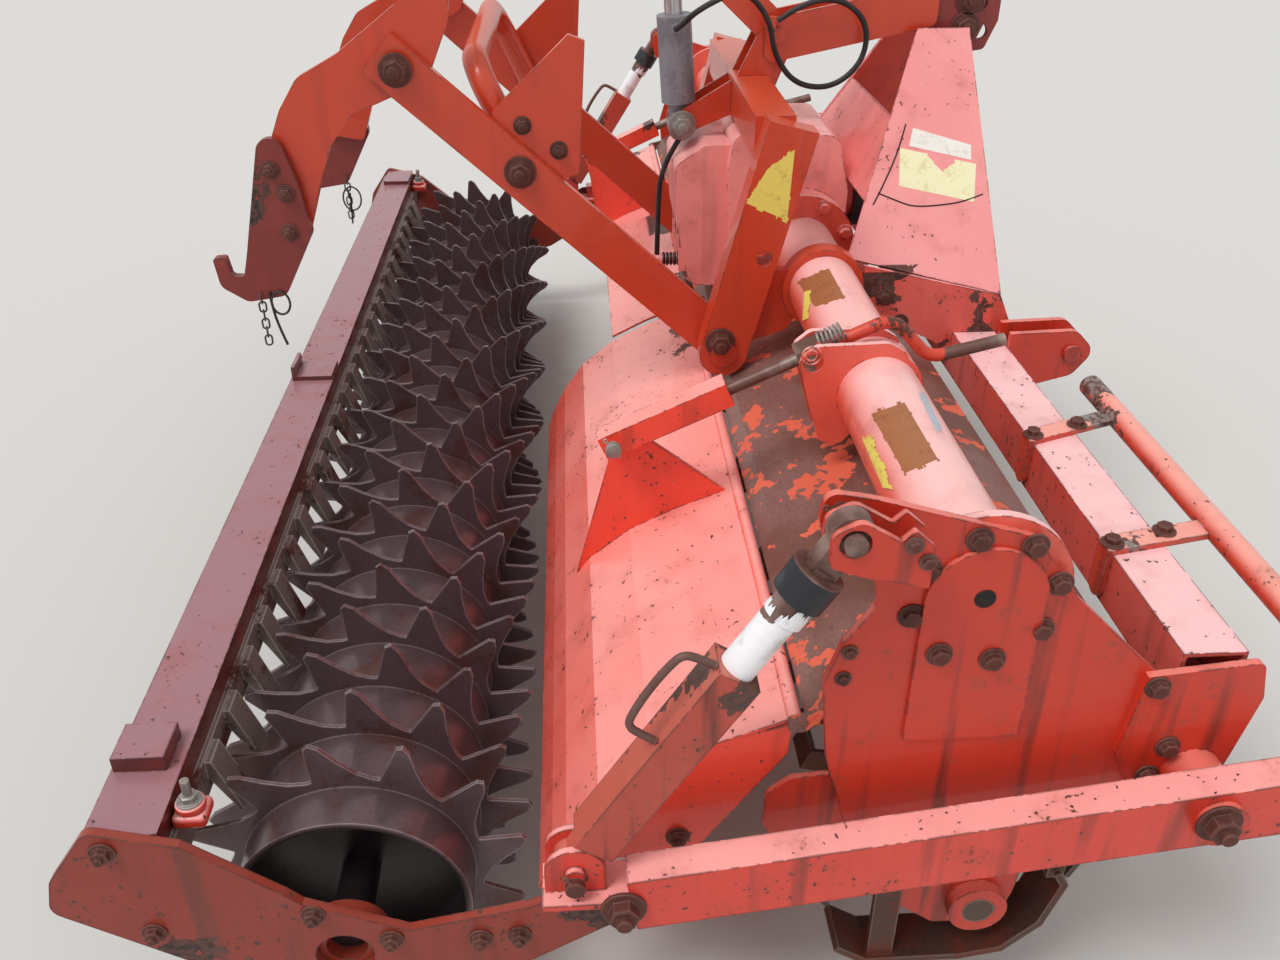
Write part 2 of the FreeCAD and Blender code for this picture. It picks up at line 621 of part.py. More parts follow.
RAIL_BARS = [
    # name, rear end, how far the bar turns in on its way to the rail
    ("in", "clamp_in_x", 75),
    ("out", "clamp_out_x", 41),
]
BEAM_REAR = "front_beam_y - front_beam_w / 2"
for side, sign in SIDES:
    pieces = [side_cylinder("rail_" + side, sign, "guard_y", "guard_z", "guard_r", "guard_in_x",
                            "guard_out_x - guard_in_x")]
    for place, rear, turn in RAIL_BARS:
        corners = [
            (f"{rear} - clamp_w / 2", f"{BEAM_REAR} - clamp_t", 4),
            (f"{rear} + clamp_w / 2", f"{BEAM_REAR} - clamp_t", 4),
            (f"{rear} - {turn} + clamp_w / 2", "guard_y", 0),
            (f"{rear} - {turn} - clamp_w / 2", "guard_y", 0),
        ]
        corners = [(x if sign > 0 else f"-({x})", y, radius) for x, y, radius in corners]
        pieces.append(outline_pad(f"rail_bar_{place}_{side}", "XY_Plane", corners, "clamp_t", "front_beam_top_z"))
        pieces.append(side_block(f"rail_strap_{place}_{side}", sign,
                                 (f"{rear} - clamp_w / 2", f"{BEAM_REAR} - clamp_t", "front_beam_top_z - 62"),
                                 ("clamp_w", "clamp_t", "62 + clamp_t")))
        pieces.append(cylinder_y(f"rail_tab_{place}_{side}", rear if sign > 0 else f"-({rear})", "front_beam_top_z - 62",
                                 "clamp_w / 2", f"{BEAM_REAR} - clamp_t", "clamp_t"))
    node(fuse("guard_" + side, pieces), "guard_rail_" + side)

# Lower hitch clevises

HITCH_OUTLINE = [
    ("front_beam_y + front_beam_w / 2", "front_beam_top_z + 34", 0),
    ("hitch_y + 4", "hitch_z + hitch_lug_r", 30),
    ("hitch_y + hitch_lug_r", "hitch_z + 4", 30),
    ("hitch_y + 10", "hitch_z - hitch_lug_r", 30),
    ("front_beam_y + front_beam_w / 2", "front_beam_top_z - front_beam_w - 10", 0),
]
for side, sign in SIDES:
    pieces = []
    for place, start in (("in", "hitch_x - hitch_gap / 2 - hitch_t"), ("out", "hitch_x + hitch_gap / 2")):
        pieces.append(side_plate_pad(f"hitch_{place}_{side}", sign, HITCH_OUTLINE, start, "hitch_t"))
    pieces.append(side_cylinder("hitch_pin_" + side, sign, "hitch_y", "hitch_z", "hitch_pin_r",
                                "hitch_x - hitch_gap / 2 - hitch_t - 10", "hitch_gap + 2 * hitch_t + 20"))
    node(fuse("hitch_" + side, pieces), "lower_hitch_" + side)

# Headstock: two legs that lean in to the top link plates

LEG_OUTLINE = [
    # y, distance up the leg, corner radius
    (62, 85, 0),
    (240, "leg_len", 0),
    (353, "leg_len", 0),
    (385, 0, 0),
]
BASE_OUTLINE = [
    (86, 872, 0),
    (384, 800, 0),
    (431, 700, 20),
    (431, "front_beam_top_z - front_beam_w - 6", 20),
    ("front_beam_y + front_beam_w / 2", "front_beam_top_z - front_beam_w - 6", 0),
    ("front_beam_y + front_beam_w / 2", "front_beam_top_z", 0),
    ("front_beam_y - front_beam_w / 2", "front_beam_top_z", 0),
    ("front_beam_y - front_beam_w / 2", 664, 0),
    (250, 700, 20),
    (130, 756, 20),
    (86, 790, 0),
]
# The plate between the legs' rear edges: x, distance up the plate
TIE_OUTLINE = [
    (-293, 0, 0),
    (299, 0, 0),
    (191, 164, 0),
    (-183, 164, 0),
]
for side, sign in SIDES:
    leg = outline_pad("leg_" + side, "YZ_Plane", LEG_OUTLINE, "leg_t", 0 if sign > 0 else "-leg_t")
    lean = math.degrees(math.atan2(VALUE["leg_low_x"] - VALUE["leg_high_x"], VALUE["leg_high_z"] - VALUE["leg_low_z"]))
    leg.Placement = FreeCAD.Placement(Vector(sign * VALUE["leg_low_x"], 0, VALUE["leg_low_z"]),
                                      Rotation(Vector(0, 1, 0), -sign * lean))
    pieces = [leg, side_plate_pad("leg_base_" + side, sign, BASE_OUTLINE, "leg_low_x", "leg_t")]
    if sign > 0:
        tie = outline_pad("leg_tie", "XY_Plane", TIE_OUTLINE, "leg_t", "-leg_t")
        tie.Placement = FreeCAD.Placement(Vector(0, 106, 966), Rotation(Vector(1, 0, 0), 66.25))
        pieces.append(tie)
    node(fuse("headstock_" + side, pieces), "headstock_leg_" + side)

TOP_OUTLINE = [
    (248, "top_z - 62", 12),
    (262, "top_z + 60", 16),
    ("top_y + 8", "top_z + 66", 30),
    ("top_y + 44", "top_z + 30", 30),
    ("top_y + 44", "top_z - 36", 12),
    ("top_y + 20", "top_z - 96", 14),
    ("top_y - 10", "top_z - 100", 14),
]
pieces = []
for side, sign in SIDES:
    pieces.append(side_plate_pad("top_plate_" + side, sign, TOP_OUTLINE, "top_gap / 2", "top_t",
                                 [("top_y", "top_z", "top_bore_r"), ("top_low_y", "top_low_z", "top_bore_r")]))
pieces.append(block("top_web", ("-leg_high_x", 262, "leg_high_z - 20"), ("2 * leg_high_x", 90, 12)))
node(fuse("top_all", pieces), "headstock_top")

# Lift portal: leaning posts, a cross member, and the lugs for the upper arm and the cylinder

for side, sign in SIDES:
    post = side_block("post_bar_" + side, sign, ("lift_x + lift_t + lift_gap", "-post_w / 2", 0),
                      ("post_x_w", "post_w", "post_len"))
    end = side_cylinder("post_end_" + side, sign, 0, 0, "post_w / 2", "lift_x + lift_t + lift_gap", "post_x_w")
    boss = side_cylinder("post_boss_" + side, sign, 0, 0, "lift_pin_r + 12", "lift_x + lift_t + lift_gap", "post_x_w + 6")
    turned = fuse("post_turn_" + side, [post, end, boss])
    turned.Placement = FreeCAD.Placement(Vector(0, VALUE["lift_y"], VALUE["lift_z"]),
                                         Rotation(Vector(1, 0, 0), -VALUE["post_lean"]))
    pin = side_cylinder("post_pin_" + side, sign, "lift_y", "lift_z", "lift_pin_r", "lift_x - 12", "lift_t + 40")
    stay = side_plate_pad("post_stay_" + side, sign, [
        ("lift_y + 24", "lift_z + 8", 8),
        ("lift_y + 44", "lift_z + 176", 8),
        (-40, "axle_z + 40", 0),
        (-40, "axle_z - 40", 0),
        (-70, "axle_z - 92", 8),
    ], "lift_x + lift_t + lift_gap + 20", 20)
    collar = side_cylinder("post_collar_" + side, sign, 0, "axle_z", "tube_r + 14", "lift_x + lift_t + lift_gap + 10", 40)
    whole = fuse("post_whole_" + side, [turned, pin, stay, collar])
    bore = side_cylinder("post_bore_" + side, sign, 0, "axle_z", "tube_r", "lift_x - 30", "post_x_w + 90")
    hole = side_cylinder("post_hole_" + side, sign, "lift_y + 76", "lift_z + 206", 16, "lift_x", "post_x_w + 60")
    node(cut("post_" + side, whole, fuse("post_bores_" + side, [bore, hole])), "lift_post_" + side)

cross = block("cross_bar", ("-(lift_x + lift_t + lift_gap)", -150, 1090), ("2 * (lift_x + lift_t + lift_gap)", 80, 80))
LUG_OUTLINE = [
    (-120, 1100, 0),
    ("cyl_y - 30", "cyl_z - 26", 16),
    ("cyl_y - 26", "cyl_z + 26", 14),
    (-140, 1168, 0),
    ("upper_y - 38", "upper_z + 10", 16),
    ("upper_y + 14", "upper_z + 40", 16),
    ("upper_y + 40", "upper_z - 10", 12),
    (-72, 1100, 0),
]
pieces = [cross]
for side, sign in SIDES:
    pieces.append(side_plate_pad("lug_" + side, sign, LUG_OUTLINE, "upper_half_gap + 2", "top_gap / 2 + top_t - upper_half_gap - 2"))
for side, sign in SIDES:
    pieces.append(side_plate_pad("brace_" + side, sign, [
        ("upper_y - 30", "upper_z - 62", 20),
        ("upper_y - 30", "upper_z + 30", 20),
        (290, "top_z + 46", 20),
        (290, "top_z - 44", 20),
    ], "top_gap / 2 + top_t", 10))
pieces.append(cylinder_x("lug_pin_low", "cyl_y", "cyl_z", "cyl_pin_r", "-upper_half_gap - 24", "2 * upper_half_gap + 48"))
pieces.append(cylinder_x("lug_pin_high", "upper_y", "upper_z", "cyl_pin_r", "-upper_half_gap - 30",
                         "2 * upper_half_gap + 60"))
pieces.append(block("hose_clip", ("top_gap / 2 + top_t + 9", -84, 1272), (24, 20, 24)))
node(fuse("lift_cross_all", pieces), "lift_cross")

# Clamp on the cross tube for the flap strut, and its trunnion lugs

for side, sign in SIDES:
    pieces = []
    for place, start in (("in", "strut_x - strut_w / 2 - 16"), ("out", "strut_x + strut_w / 2 + 4")):
        pieces.append(side_plate_pad(f"strut_lug_{place}_{side}", sign, [
            ("trunnion_y - 26", "trunnion_z + 4", 20),
            ("trunnion_y + 4", "trunnion_z + 30", 20),
            (10, "axle_z + tube_r + 24", 24),
            (50, "axle_z + tube_r", 20),
            (20, "axle_z", 0),
            (-60, "axle_z - tube_r - 26", 20),
            (-96, "axle_z - tube_r - 16", 16),
        ], start, 12, [("trunnion_y", "trunnion_z", "trunnion_r")]))
    band = side_cylinder("strut_band_" + side, sign, 0, "axle_z", "tube_r + 8", "strut_x - strut_w / 2 - 16",
                         "strut_w + 32")
    whole = fuse("strut_clamp_whole_" + side, pieces + [band])
    bore = side_cylinder("strut_clamp_bore_" + side, sign, 0, "axle_z", "tube_r", "strut_x - strut_w",
                         "2 * strut_w")
    node(cut("strut_clamp_cut_" + side, whole, bore), "strut_clamp_" + side)

# Rotor with its blade flanges and L-shaped blades

def turned(shape, y, z, degrees):
    copy = shape.copy()
    copy.rotate(Vector(0, y, z), Vector(1, 0, 0), degrees)
    return copy


rotor_y, rotor_z = VALUE["rotor_y"], VALUE["rotor_z"]
rotor_pieces = [
    Part.makeCylinder(VALUE["rotor_tube_r"], 2 * VALUE["rotor_end_x"], Vector(-VALUE["rotor_end_x"], rotor_y, rotor_z),
                      Vector(1, 0, 0)),
    Part.makeCylinder(VALUE["journal_r"], 2 * (VALUE["side_x"] + 20), Vector(-VALUE["side_x"] - 20, rotor_y, rotor_z),
                      Vector(1, 0, 0)),
]
DISC_COUNT = 12
BLADES = 6
tip_high = math.sqrt(VALUE["rotor_tip_r"] ** 2 - 20 ** 2)
tip_low = math.sqrt(VALUE["rotor_tip_r"] ** 2 - 60 ** 2)
for i in range(DISC_COUNT):
    x = (i - (DISC_COUNT - 1) / 2) * VALUE["rotor_pitch"]
    disc_t = VALUE["rotor_disc_t"]
    rotor_pieces.append(Part.makeCylinder(VALUE["rotor_disc_r"], disc_t, Vector(x - disc_t / 2, rotor_y, rotor_z),
                                          Vector(1, 0, 0)))
    for k in range(BLADES):
        hand = 1 if k % 2 else -1
        start = x + disc_t / 2 if hand > 0 else x - disc_t / 2 - 8
        shank = Part.makePolygon([Vector(start, rotor_y + u, rotor_z + v) for u, v in (
            (-30, 60), (28, 60), (20, 150), (-20, tip_high), (-60, tip_low), (-30, 150), (-30, 60))])
        shank = Part.Face(shank).extrude(Vector(8, 0, 0))
        foot_x = start if hand > 0 else start + 8 - 70
        foot = Part.makePolygon([Vector(foot_x, rotor_y + u, rotor_z + v) for u, v in (
            (-20, tip_high), (-60, tip_low), (-58, tip_low - 9), (-18, tip_high - 9), (-20, tip_high))])
        foot = Part.Face(foot).extrude(Vector(70, 0, 0))
        for piece in (shank, foot):
            rotor_pieces.append(turned(piece, rotor_y, rotor_z, k * 360 / BLADES + i * 27))
node(shaped("rotor_all", rotor_pieces[0].fuse(rotor_pieces[1:])), "rotor")

# Packer roller: a drum with toothed rings welded round it

RING_COUNT = 26
TEETH = 12
PHASES = 3
roller_y, roller_z = VALUE["roller_y"], VALUE["roller_z"]
# One tooth, as (degrees from the tooth's root, share of the tooth's height), going backwards round the ring
TOOTH = [(0, 0.0), (2, 0.55), (3, 0.92), (5, 1.0), (8, 0.86), (13, 0.45), (20, 0.12), (27, 0.0)]
low_r = VALUE["drum_r"] + VALUE["ring_rim"]
high = VALUE["roller_tip_r"] - low_r


def ring_shape(x, phase):
    """One toothed ring at the plane x, turned by phase degrees."""
    points = []
    for k in range(TEETH):
        for step, share in TOOTH:
            angle = math.radians(phase + k * 360 / TEETH - step)
            reach = low_r + high * share
            points.append(Vector(x - VALUE["ring_t"] / 2, roller_y + reach * math.cos(angle),
                                 roller_z + reach * math.sin(angle)))
    points = sorted(points, key=lambda point: -math.atan2(point.z - roller_z, point.y - roller_y))
    points.append(points[0])
    outer = Part.Wire(Part.makePolygon(points))
    inner = Part.Wire([Part.Circle(Vector(x - VALUE["ring_t"] / 2, roller_y, roller_z), Vector(1, 0, 0),
                                   VALUE["drum_r"] - 4).toShape()])
    return Part.Face([outer, inner]).extrude(Vector(VALUE["ring_t"], 0, 0))


drum = Part.makeCylinder(VALUE["drum_r"], 2 * VALUE["drum_x"], Vector(-VALUE["drum_x"], roller_y, roller_z),
                         Vector(1, 0, 0))
drum = drum.cut(Part.makeCylinder(VALUE["drum_r"] - VALUE["drum_wall"], 2 * VALUE["drum_x"] + 20,
                                  Vector(-VALUE["drum_x"] - 10, roller_y, roller_z), Vector(1, 0, 0)))
roller_pieces = []
for i in range(RING_COUNT):
    x = VALUE["ring_x"] * (1 - 2 * i / (RING_COUNT - 1))
    roller_pieces.append(ring_shape(x, 135.1 - (i % PHASES) * 360 / TEETH / PHASES))
for side, sign in SIDES:
    roller_pieces.append(Part.makeCylinder(VALUE["drum_r"] - 2, 12, Vector(sign * (VALUE["drum_x"] - 90), roller_y, roller_z),
                                           Vector(sign, 0, 0)))
    roller_pieces.append(Part.makeCylinder(VALUE["roller_shaft_r"], 138, Vector(sign * (VALUE["drum_x"] - 90), roller_y,
                                                                              roller_z), Vector(sign, 0, 0)))
node(shaped("roller_all", drum.fuse(roller_pieces)), "packer_roller")

# Roller frame: cross beam, end plates, arms and scrapers

beam_low = "beam_top_z - beam_d"
beam_out = block("roller_beam_out", ("-(arm_x - end_plate_t)", "beam_y - beam_w / 2", beam_low),
                 ("2 * (arm_x - end_plate_t)", "beam_w", "beam_d"))
beam_in = block("roller_beam_in", ("-arm_x", "beam_y - beam_w / 2 + beam_wall", "beam_top_z - beam_d + beam_wall"),
                ("2 * arm_x", "beam_w - 2 * beam_wall", "beam_d - 2 * beam_wall"))
BEAM_BLOCKS = [
    # name, x and y of the low corner, size along x, y and z
    ("plate", 75, -1180, 85, 88, 10),
    ("stand", 75, -1184, 85, 8, 34),
    ("step", 1345, -1185, 72, 75, 25),
    ("lug", -1535, -1178, 131, 86, 12),
]
beam_pieces = [cut("roller_beam_cut", beam_out, beam_in)]
for name, x, y, length, width, height in BEAM_BLOCKS:
    beam_pieces.append(block("beam_" + name, (x, y, "beam_top_z - 1"), (length, width, height + 1)))
node(fuse("roller_beam_all", beam_pieces), "roller_beam")

END_OUTLINE = [
    ("beam_y - 38", "beam_top_z + 22", 20),
    (-1243, 447, 30),
    ("rear_reach", 387, 24),
    (-1092, 269, 0),
    (-960, 188, 60),
    (-790, 178, 60),
    (-600, 232, 0),
    (-440, 330, 20),
    (-440, 392, 12),
    (-500, 392, 12),
    (-599, 348, 0),
    (-773, 310, 0),
    (-915, 376, 0),
    (-936, 398, 0),
    ("beam_y + beam_w / 2 + 30", "beam_top_z - 12", 0),
]
for side, sign in SIDES:
    plate = side_plate_pad("end_" + side, sign, END_OUTLINE, "arm_x - end_plate_t", "end_plate_t",
                           [("roller_y", "roller_z", "roller_shaft_r + 12")])
    house = side_cylinder("roller_house_" + side, sign, "roller_y", "roller_z", "roller_shaft_r + 30",
                          "arm_x - end_plate_t - 34", 34)
    hub = side_cylinder("roller_hub_" + side, sign, "roller_y", "roller_z", "roller_shaft_r + play",
                        "arm_x - 60", 90)
    node(cut("end_cut_" + side, fuse("end_whole_" + side, [plate, house]), hub), "roller_end_" + side)

for side, sign in SIDES:
    bar = side_block("arm_bar_" + side, sign, ("arm_x", "-arm_rear", "-arm_d / 2"),
                     ("arm_w", "arm_rear + arm_front", "arm_d"))
    hole = side_cylinder("arm_hole_" + side, sign, 0, 0, "arm_pin_r + play", "arm_x - 5", "arm_w + 10")
    arm = cut("arm_cut_" + side, bar, hole)
    arm.Placement = FreeCAD.Placement(Vector(0, VALUE["arm_pivot_y"], VALUE["arm_pivot_z"]),
                                      Rotation(Vector(1, 0, 0), VALUE["arm_tilt"]))
    foot = side_block("arm_foot_" + side, sign, ("spindle_x - spindle_gap / 2 - cheek_t", "low_eye_y - 46", "low_eye_z - 45"),
                      ("arm_x + arm_w - spindle_x + spindle_gap / 2 + cheek_t", 160, 10))
    pieces = [arm, foot]
    for place, start in (("in", "spindle_x - spindle_gap / 2 - cheek_t"), ("out", "spindle_x + spindle_gap / 2")):
        pieces.append(side_plate_pad(f"arm_ear_{place}_{side}", sign, [
            ("low_eye_y - 42", "low_eye_z - 45", 0),
            ("low_eye_y - 42", "low_eye_z + 42", 40),
            ("low_eye_y + 42", "low_eye_z + 42", 40),
            ("low_eye_y + 42", "low_eye_z - 45", 0),
        ], start, "cheek_t"))
    pieces.append(side_cylinder("arm_ear_pin_" + side, sign, "low_eye_y", "low_eye_z", "spindle_pin_r",
                                "spindle_x - spindle_gap / 2 - cheek_t", "spindle_gap + 2 * cheek_t + 10"))
    node(fuse("arm_all_" + side, pieces), "roller_arm_" + side)

scraper_pieces = [block("scraper_bar", ("-(arm_x - end_plate_t)", "beam_y + beam_w / 2", "beam_top_z - beam_d"),
                        ("2 * (arm_x - end_plate_t)", 8, 60))]
for i in range(RING_COUNT - 1):
    offset = f"ring_x * (1 - 2 * {i + 0.5} / {RING_COUNT - 1}) - 25"
    scraper_pieces.append(outline_pad(f"scraper_{i}", "YZ_Plane", [
        ("beam_y + beam_w / 2 + 8", 470, 0),
        ("beam_y + beam_w / 2 + 18", 470, 0),
        ("roller_y - (drum_r + scraper_gap) * cos(scraper_rake)", "roller_z + (drum_r + scraper_gap) * sin(scraper_rake)", 0),
        ("roller_y - (drum_r + scraper_gap) * cos(scraper_rake) - 4",
         "roller_z + (drum_r + scraper_gap) * sin(scraper_rake) - 6", 0),
        ("beam_y + beam_w / 2 + 8", 440, 0),
    ], 50, offset))
node(fuse("scrapers", scraper_pieces), "roller_scrapers")

# Depth spindles: a square tube on the roller arm and a screw that hangs from the side plate's ear

spindle_run = Vector(0, VALUE["eye_y"] - VALUE["low_eye_y"], VALUE["eye_z"] - VALUE["low_eye_z"])
spindle_turn = math.degrees(math.atan2(spindle_run.z, spindle_run.y)) - 90
EYE_W = "spindle_gap - 2 * side_play"
EYE_START = "spindle_x - spindle_gap / 2 + side_play"
for side, sign in SIDES:
    tube = side_block("sp_tube_" + side, sign, ("spindle_x - spindle_tube_w / 2", "-spindle_tube_w / 2", 48),
                      ("spindle_tube_w", "spindle_tube_w", "spindle_tube_len"))
    eye = side_cylinder("sp_eye_" + side, sign, 0, 0, 30, EYE_START, EYE_W)
    neck = side_block("sp_neck_" + side, sign, (EYE_START, -24, 10), (EYE_W, 48, 44))
    whole = fuse("sp_whole_" + side, [tube, eye, neck])
    hollow = doc.addObject("Part::Cylinder", "sp_hollow_" + side)
    hollow.setExpression("Radius", bind("spindle_sleeve_r + play"))
    hollow.setExpression("Height", bind("spindle_tube_len"))
    hollow.setExpression("Placement.Base.x", bind("spindle_x" if sign > 0 else "-spindle_x"))
    hollow.setExpression("Placement.Base.z", bind("70"))
    pin_hole = side_cylinder("sp_pin_hole_" + side, sign, 0, 0, "spindle_pin_r + play", "spindle_x - spindle_gap",
                             "2 * spindle_gap")
    result = cut("sp_result_" + side, whole, fuse("sp_cutter_" + side, [hollow, pin_hole]))
    result.Placement = FreeCAD.Placement(Vector(0, VALUE["low_eye_y"], VALUE["low_eye_z"]),
                                         Rotation(Vector(1, 0, 0), spindle_turn))
    node(result, "spindle_tube_" + side)

SPINDLE_ROWS = [
    # name, radius, start up the spindle, length
    ("screw", "spindle_rod_r", "200", "spindle_len - 200 - 54"),
    ("sleeve", "spindle_sleeve_r", "320", "spindle_len - 320 - 80"),
    ("cap", "spindle_cap_r", "spindle_len - 61 - spindle_cap_len", "spindle_cap_len"),
]
for side, sign in SIDES:
    pieces = []
    for name, radius, start, length in SPINDLE_ROWS:
        solid = doc.addObject("Part::Cylinder", f"sp_{name}_{side}")
        solid.setExpression("Radius", bind(radius))
        solid.setExpression("Height", bind(length))
        solid.setExpression("Placement.Base.x", bind("spindle_x" if sign > 0 else "-spindle_x"))
        solid.setExpression("Placement.Base.z", bind(start))
        pieces.append(solid)
    pieces.append(side_cylinder("sp_top_eye_" + side, sign, 0, "spindle_len", 28, EYE_START, EYE_W))
    pieces.append(side_block("sp_top_neck_" + side, sign, (EYE_START, -18, "spindle_len - 60"), (EYE_W, 36, 50)))
    pieces.append(side_cylinder("sp_top_pin_" + side, sign, 0, "spindle_len", "spindle_pin_r",
                                "spindle_x - spindle_gap / 2 - cheek_t - 6", "spindle_gap + 2 * cheek_t + 12"))
    rod = fuse("sp_rod_" + side, pieces)
    rod.Placement = FreeCAD.Placement(Vector(0, VALUE["low_eye_y"], VALUE["low_eye_z"]),
                                      Rotation(Vector(1, 0, 0), spindle_turn))
    node(rod, "spindle_rod_" + side)

# Rear flaps, one for each half of the hood

FLAP_LINE = [
    ("hinge_y - 2", "hinge_z + hinge_r - 4"),
    ("hinge_y - 113", "hinge_z - 37"),
    ("hinge_y - 198", "hinge_z - 80"),
    ("hinge_y - 274", "hinge_z - 142"),
    ("hinge_y - 322", "hinge_z - 210"),
    ("hinge_y - 345", "hinge_z - 257"),
    ("hinge_y - 367", "hinge_z - 316"),
]
SHORT_LINE = FLAP_LINE[:3]
END_PLATES = {
    "right": [
        ("hinge_y - 2", "hinge_z - 4", 0),
        ("hinge_y - 113", "hinge_z - 40", 0),
        ("hinge_y - 198", "hinge_z - 83", 0),
        ("hinge_y - 274", "hinge_z - 145", 0),
        ("hinge_y - 322", "hinge_z - 212", 0),
        ("hinge_y - 345", "hinge_z - 259", 0),
        ("hinge_y - 140", "hinge_z - 258", 20),
        ("hinge_y - 6", "hinge_z - 60", 20),
    ],
    "left": [
        ("hinge_y - 2", "hinge_z - 4", 0),
        ("hinge_y - 113", "hinge_z - 40", 0),
        ("hinge_y - 198", "hinge_z - 83", 0),
        ("hinge_y - 176", "hinge_z - 120", 12),
        ("hinge_y - 90", "hinge_z - 128", 20),
        ("hinge_y - 6", "hinge_z - 60", 20),
    ],
}
RIB_TOP = [
    ("hinge_y - 20", "hinge_z - 2", 0),
    ("strut_pin_y + 34", "strut_pin_z + 6", 12),
    ("strut_pin_y + 6", "strut_pin_z + 22", 16),
    ("strut_pin_y - 22", "strut_pin_z + 6", 16),
    ("strut_pin_y - 6", "strut_pin_z - 50", 0),
]
RIB_FOOT = {
    "right": [("hinge_y - 300", "hinge_z - 180", 0), ("hinge_y - 274", "hinge_z - 146", 0)],
    "left": [("hinge_y - 214", "hinge_z - 60", 0)],
}
RIB_ROOT = [
    ("hinge_y - 198", "hinge_z - 84", 0),
    ("hinge_y - 113", "hinge_z - 41", 0),
]
for side, sign in SIDES:
    line = FLAP_LINE if sign > 0 else SHORT_LINE
    pieces = [side_plate_pad("flap_sheet_" + side, sign, sheet_outline(line, "-flap_t"), "flap_in_x",
                             "flap_out_x - flap_in_x")]
    pieces.append(side_cylinder("flap_hinge_" + side, sign, "hinge_y", "hinge_z", "hinge_r", "flap_in_x",
                                "flap_out_x - flap_in_x"))
    pieces.append(side_plate_pad("flap_end_" + side, sign, END_PLATES[side], "flap_out_x - flap_end_t", "flap_end_t"))
    pieces.append(side_plate_pad("flap_rib_" + side, sign, RIB_TOP + RIB_FOOT[side] + RIB_ROOT,
                                 "strut_x - strut_w / 2 - 12", 8, [("strut_pin_y", "strut_pin_z", "strut_pin_r + 3")]))
    bore = side_cylinder("flap_bore_" + side, sign, "hinge_y", "hinge_z", "hinge_pin_r + play", "flap_in_x - 2",
                         "flap_out_x - flap_in_x + 4")
    flap = cut("flap_all_" + side, fuse("flap_solid_" + side, pieces), bore)
    node(flap, "rear_flap_" + side)

# Flap struts: a crank screw in the trunnion, and the square tube that it drives

trunnion = Vector(0, VALUE["trunnion_y"], VALUE["trunnion_z"])
pin = Vector(0, VALUE["strut_pin_y"], VALUE["strut_pin_z"])
for side, sign in SIDES:
    run = trunnion - pin
    slope = math.degrees(math.atan2(run.z, run.y))
    x_mid = sign * VALUE["strut_x"]
    place = FreeCAD.Placement(Vector(0, pin.y, pin.z), Rotation(Vector(1, 0, 0), slope))
    half = VALUE["strut_w"] / 2
    tube = Part.makeBox(2 * half, VALUE["strut_len"], 2 * half, Vector(x_mid - half, -22, -half))
    tube = tube.cut(Part.makeCylinder(VALUE["strut_rod_r"] + VALUE["play"], VALUE["strut_len"], Vector(x_mid, 20, 0), Vector(0, 1, 0)))
    tube = tube.cut(Part.makeBox(2 * half, 70, 2 * half - 10, Vector(x_mid - sign * 5 - half, -30, -half + 5)))
    tube = tube.fuse(Part.makeCylinder(VALUE["strut_pin_r"], 2 * half + 30, Vector(x_mid - half - 15, 0, 0), Vector(1, 0, 0)))
    tube_feature = shaped("strut_tube_shape_" + side, tube)
    tube_feature.Placement = place
    node(tube_feature, "strut_tube_" + side)
    length = run.Length
    screw = Part.makeCylinder(VALUE["strut_rod_r"], length - 60 + 80, Vector(x_mid, 60, 0), Vector(0, 1, 0))
    boss = Part.makeCylinder(VALUE["trunnion_r"] - VALUE["play"], VALUE["strut_w"] + 30,
                             Vector(x_mid - VALUE["strut_w"] / 2 - 15, length, 0), Vector(1, 0, 0))
    knuckle = Part.makeBox(VALUE["strut_w"], 44, 40, Vector(x_mid - VALUE["strut_w"] / 2, length - 22, -20))
    # The crank's points along the screw from its pin, and across it
    crank = bent_bar([Vector(x_mid, length + u, v) for u, v in ((70, 0), (149, 0), (182, -98), (310, -123))],
                     VALUE["strut_rod_r"], (40, 40))
    screw_feature = shaped("strut_screw_shape_" + side, screw.fuse([boss, knuckle, crank]))
    screw_feature.Placement = place
    node(screw_feature, "strut_screw_" + side)

# Rear lift: lower arms with fins and their cross tube

lift_slope = math.degrees(math.atan2(VALUE["lift_rise"], -VALUE["lift_reach"]))
lift_place = FreeCAD.Placement(Vector(0, VALUE["lift_y"], VALUE["lift_z"]), Rotation(Vector(1, 0, 0), lift_slope))
FIN_T = 14
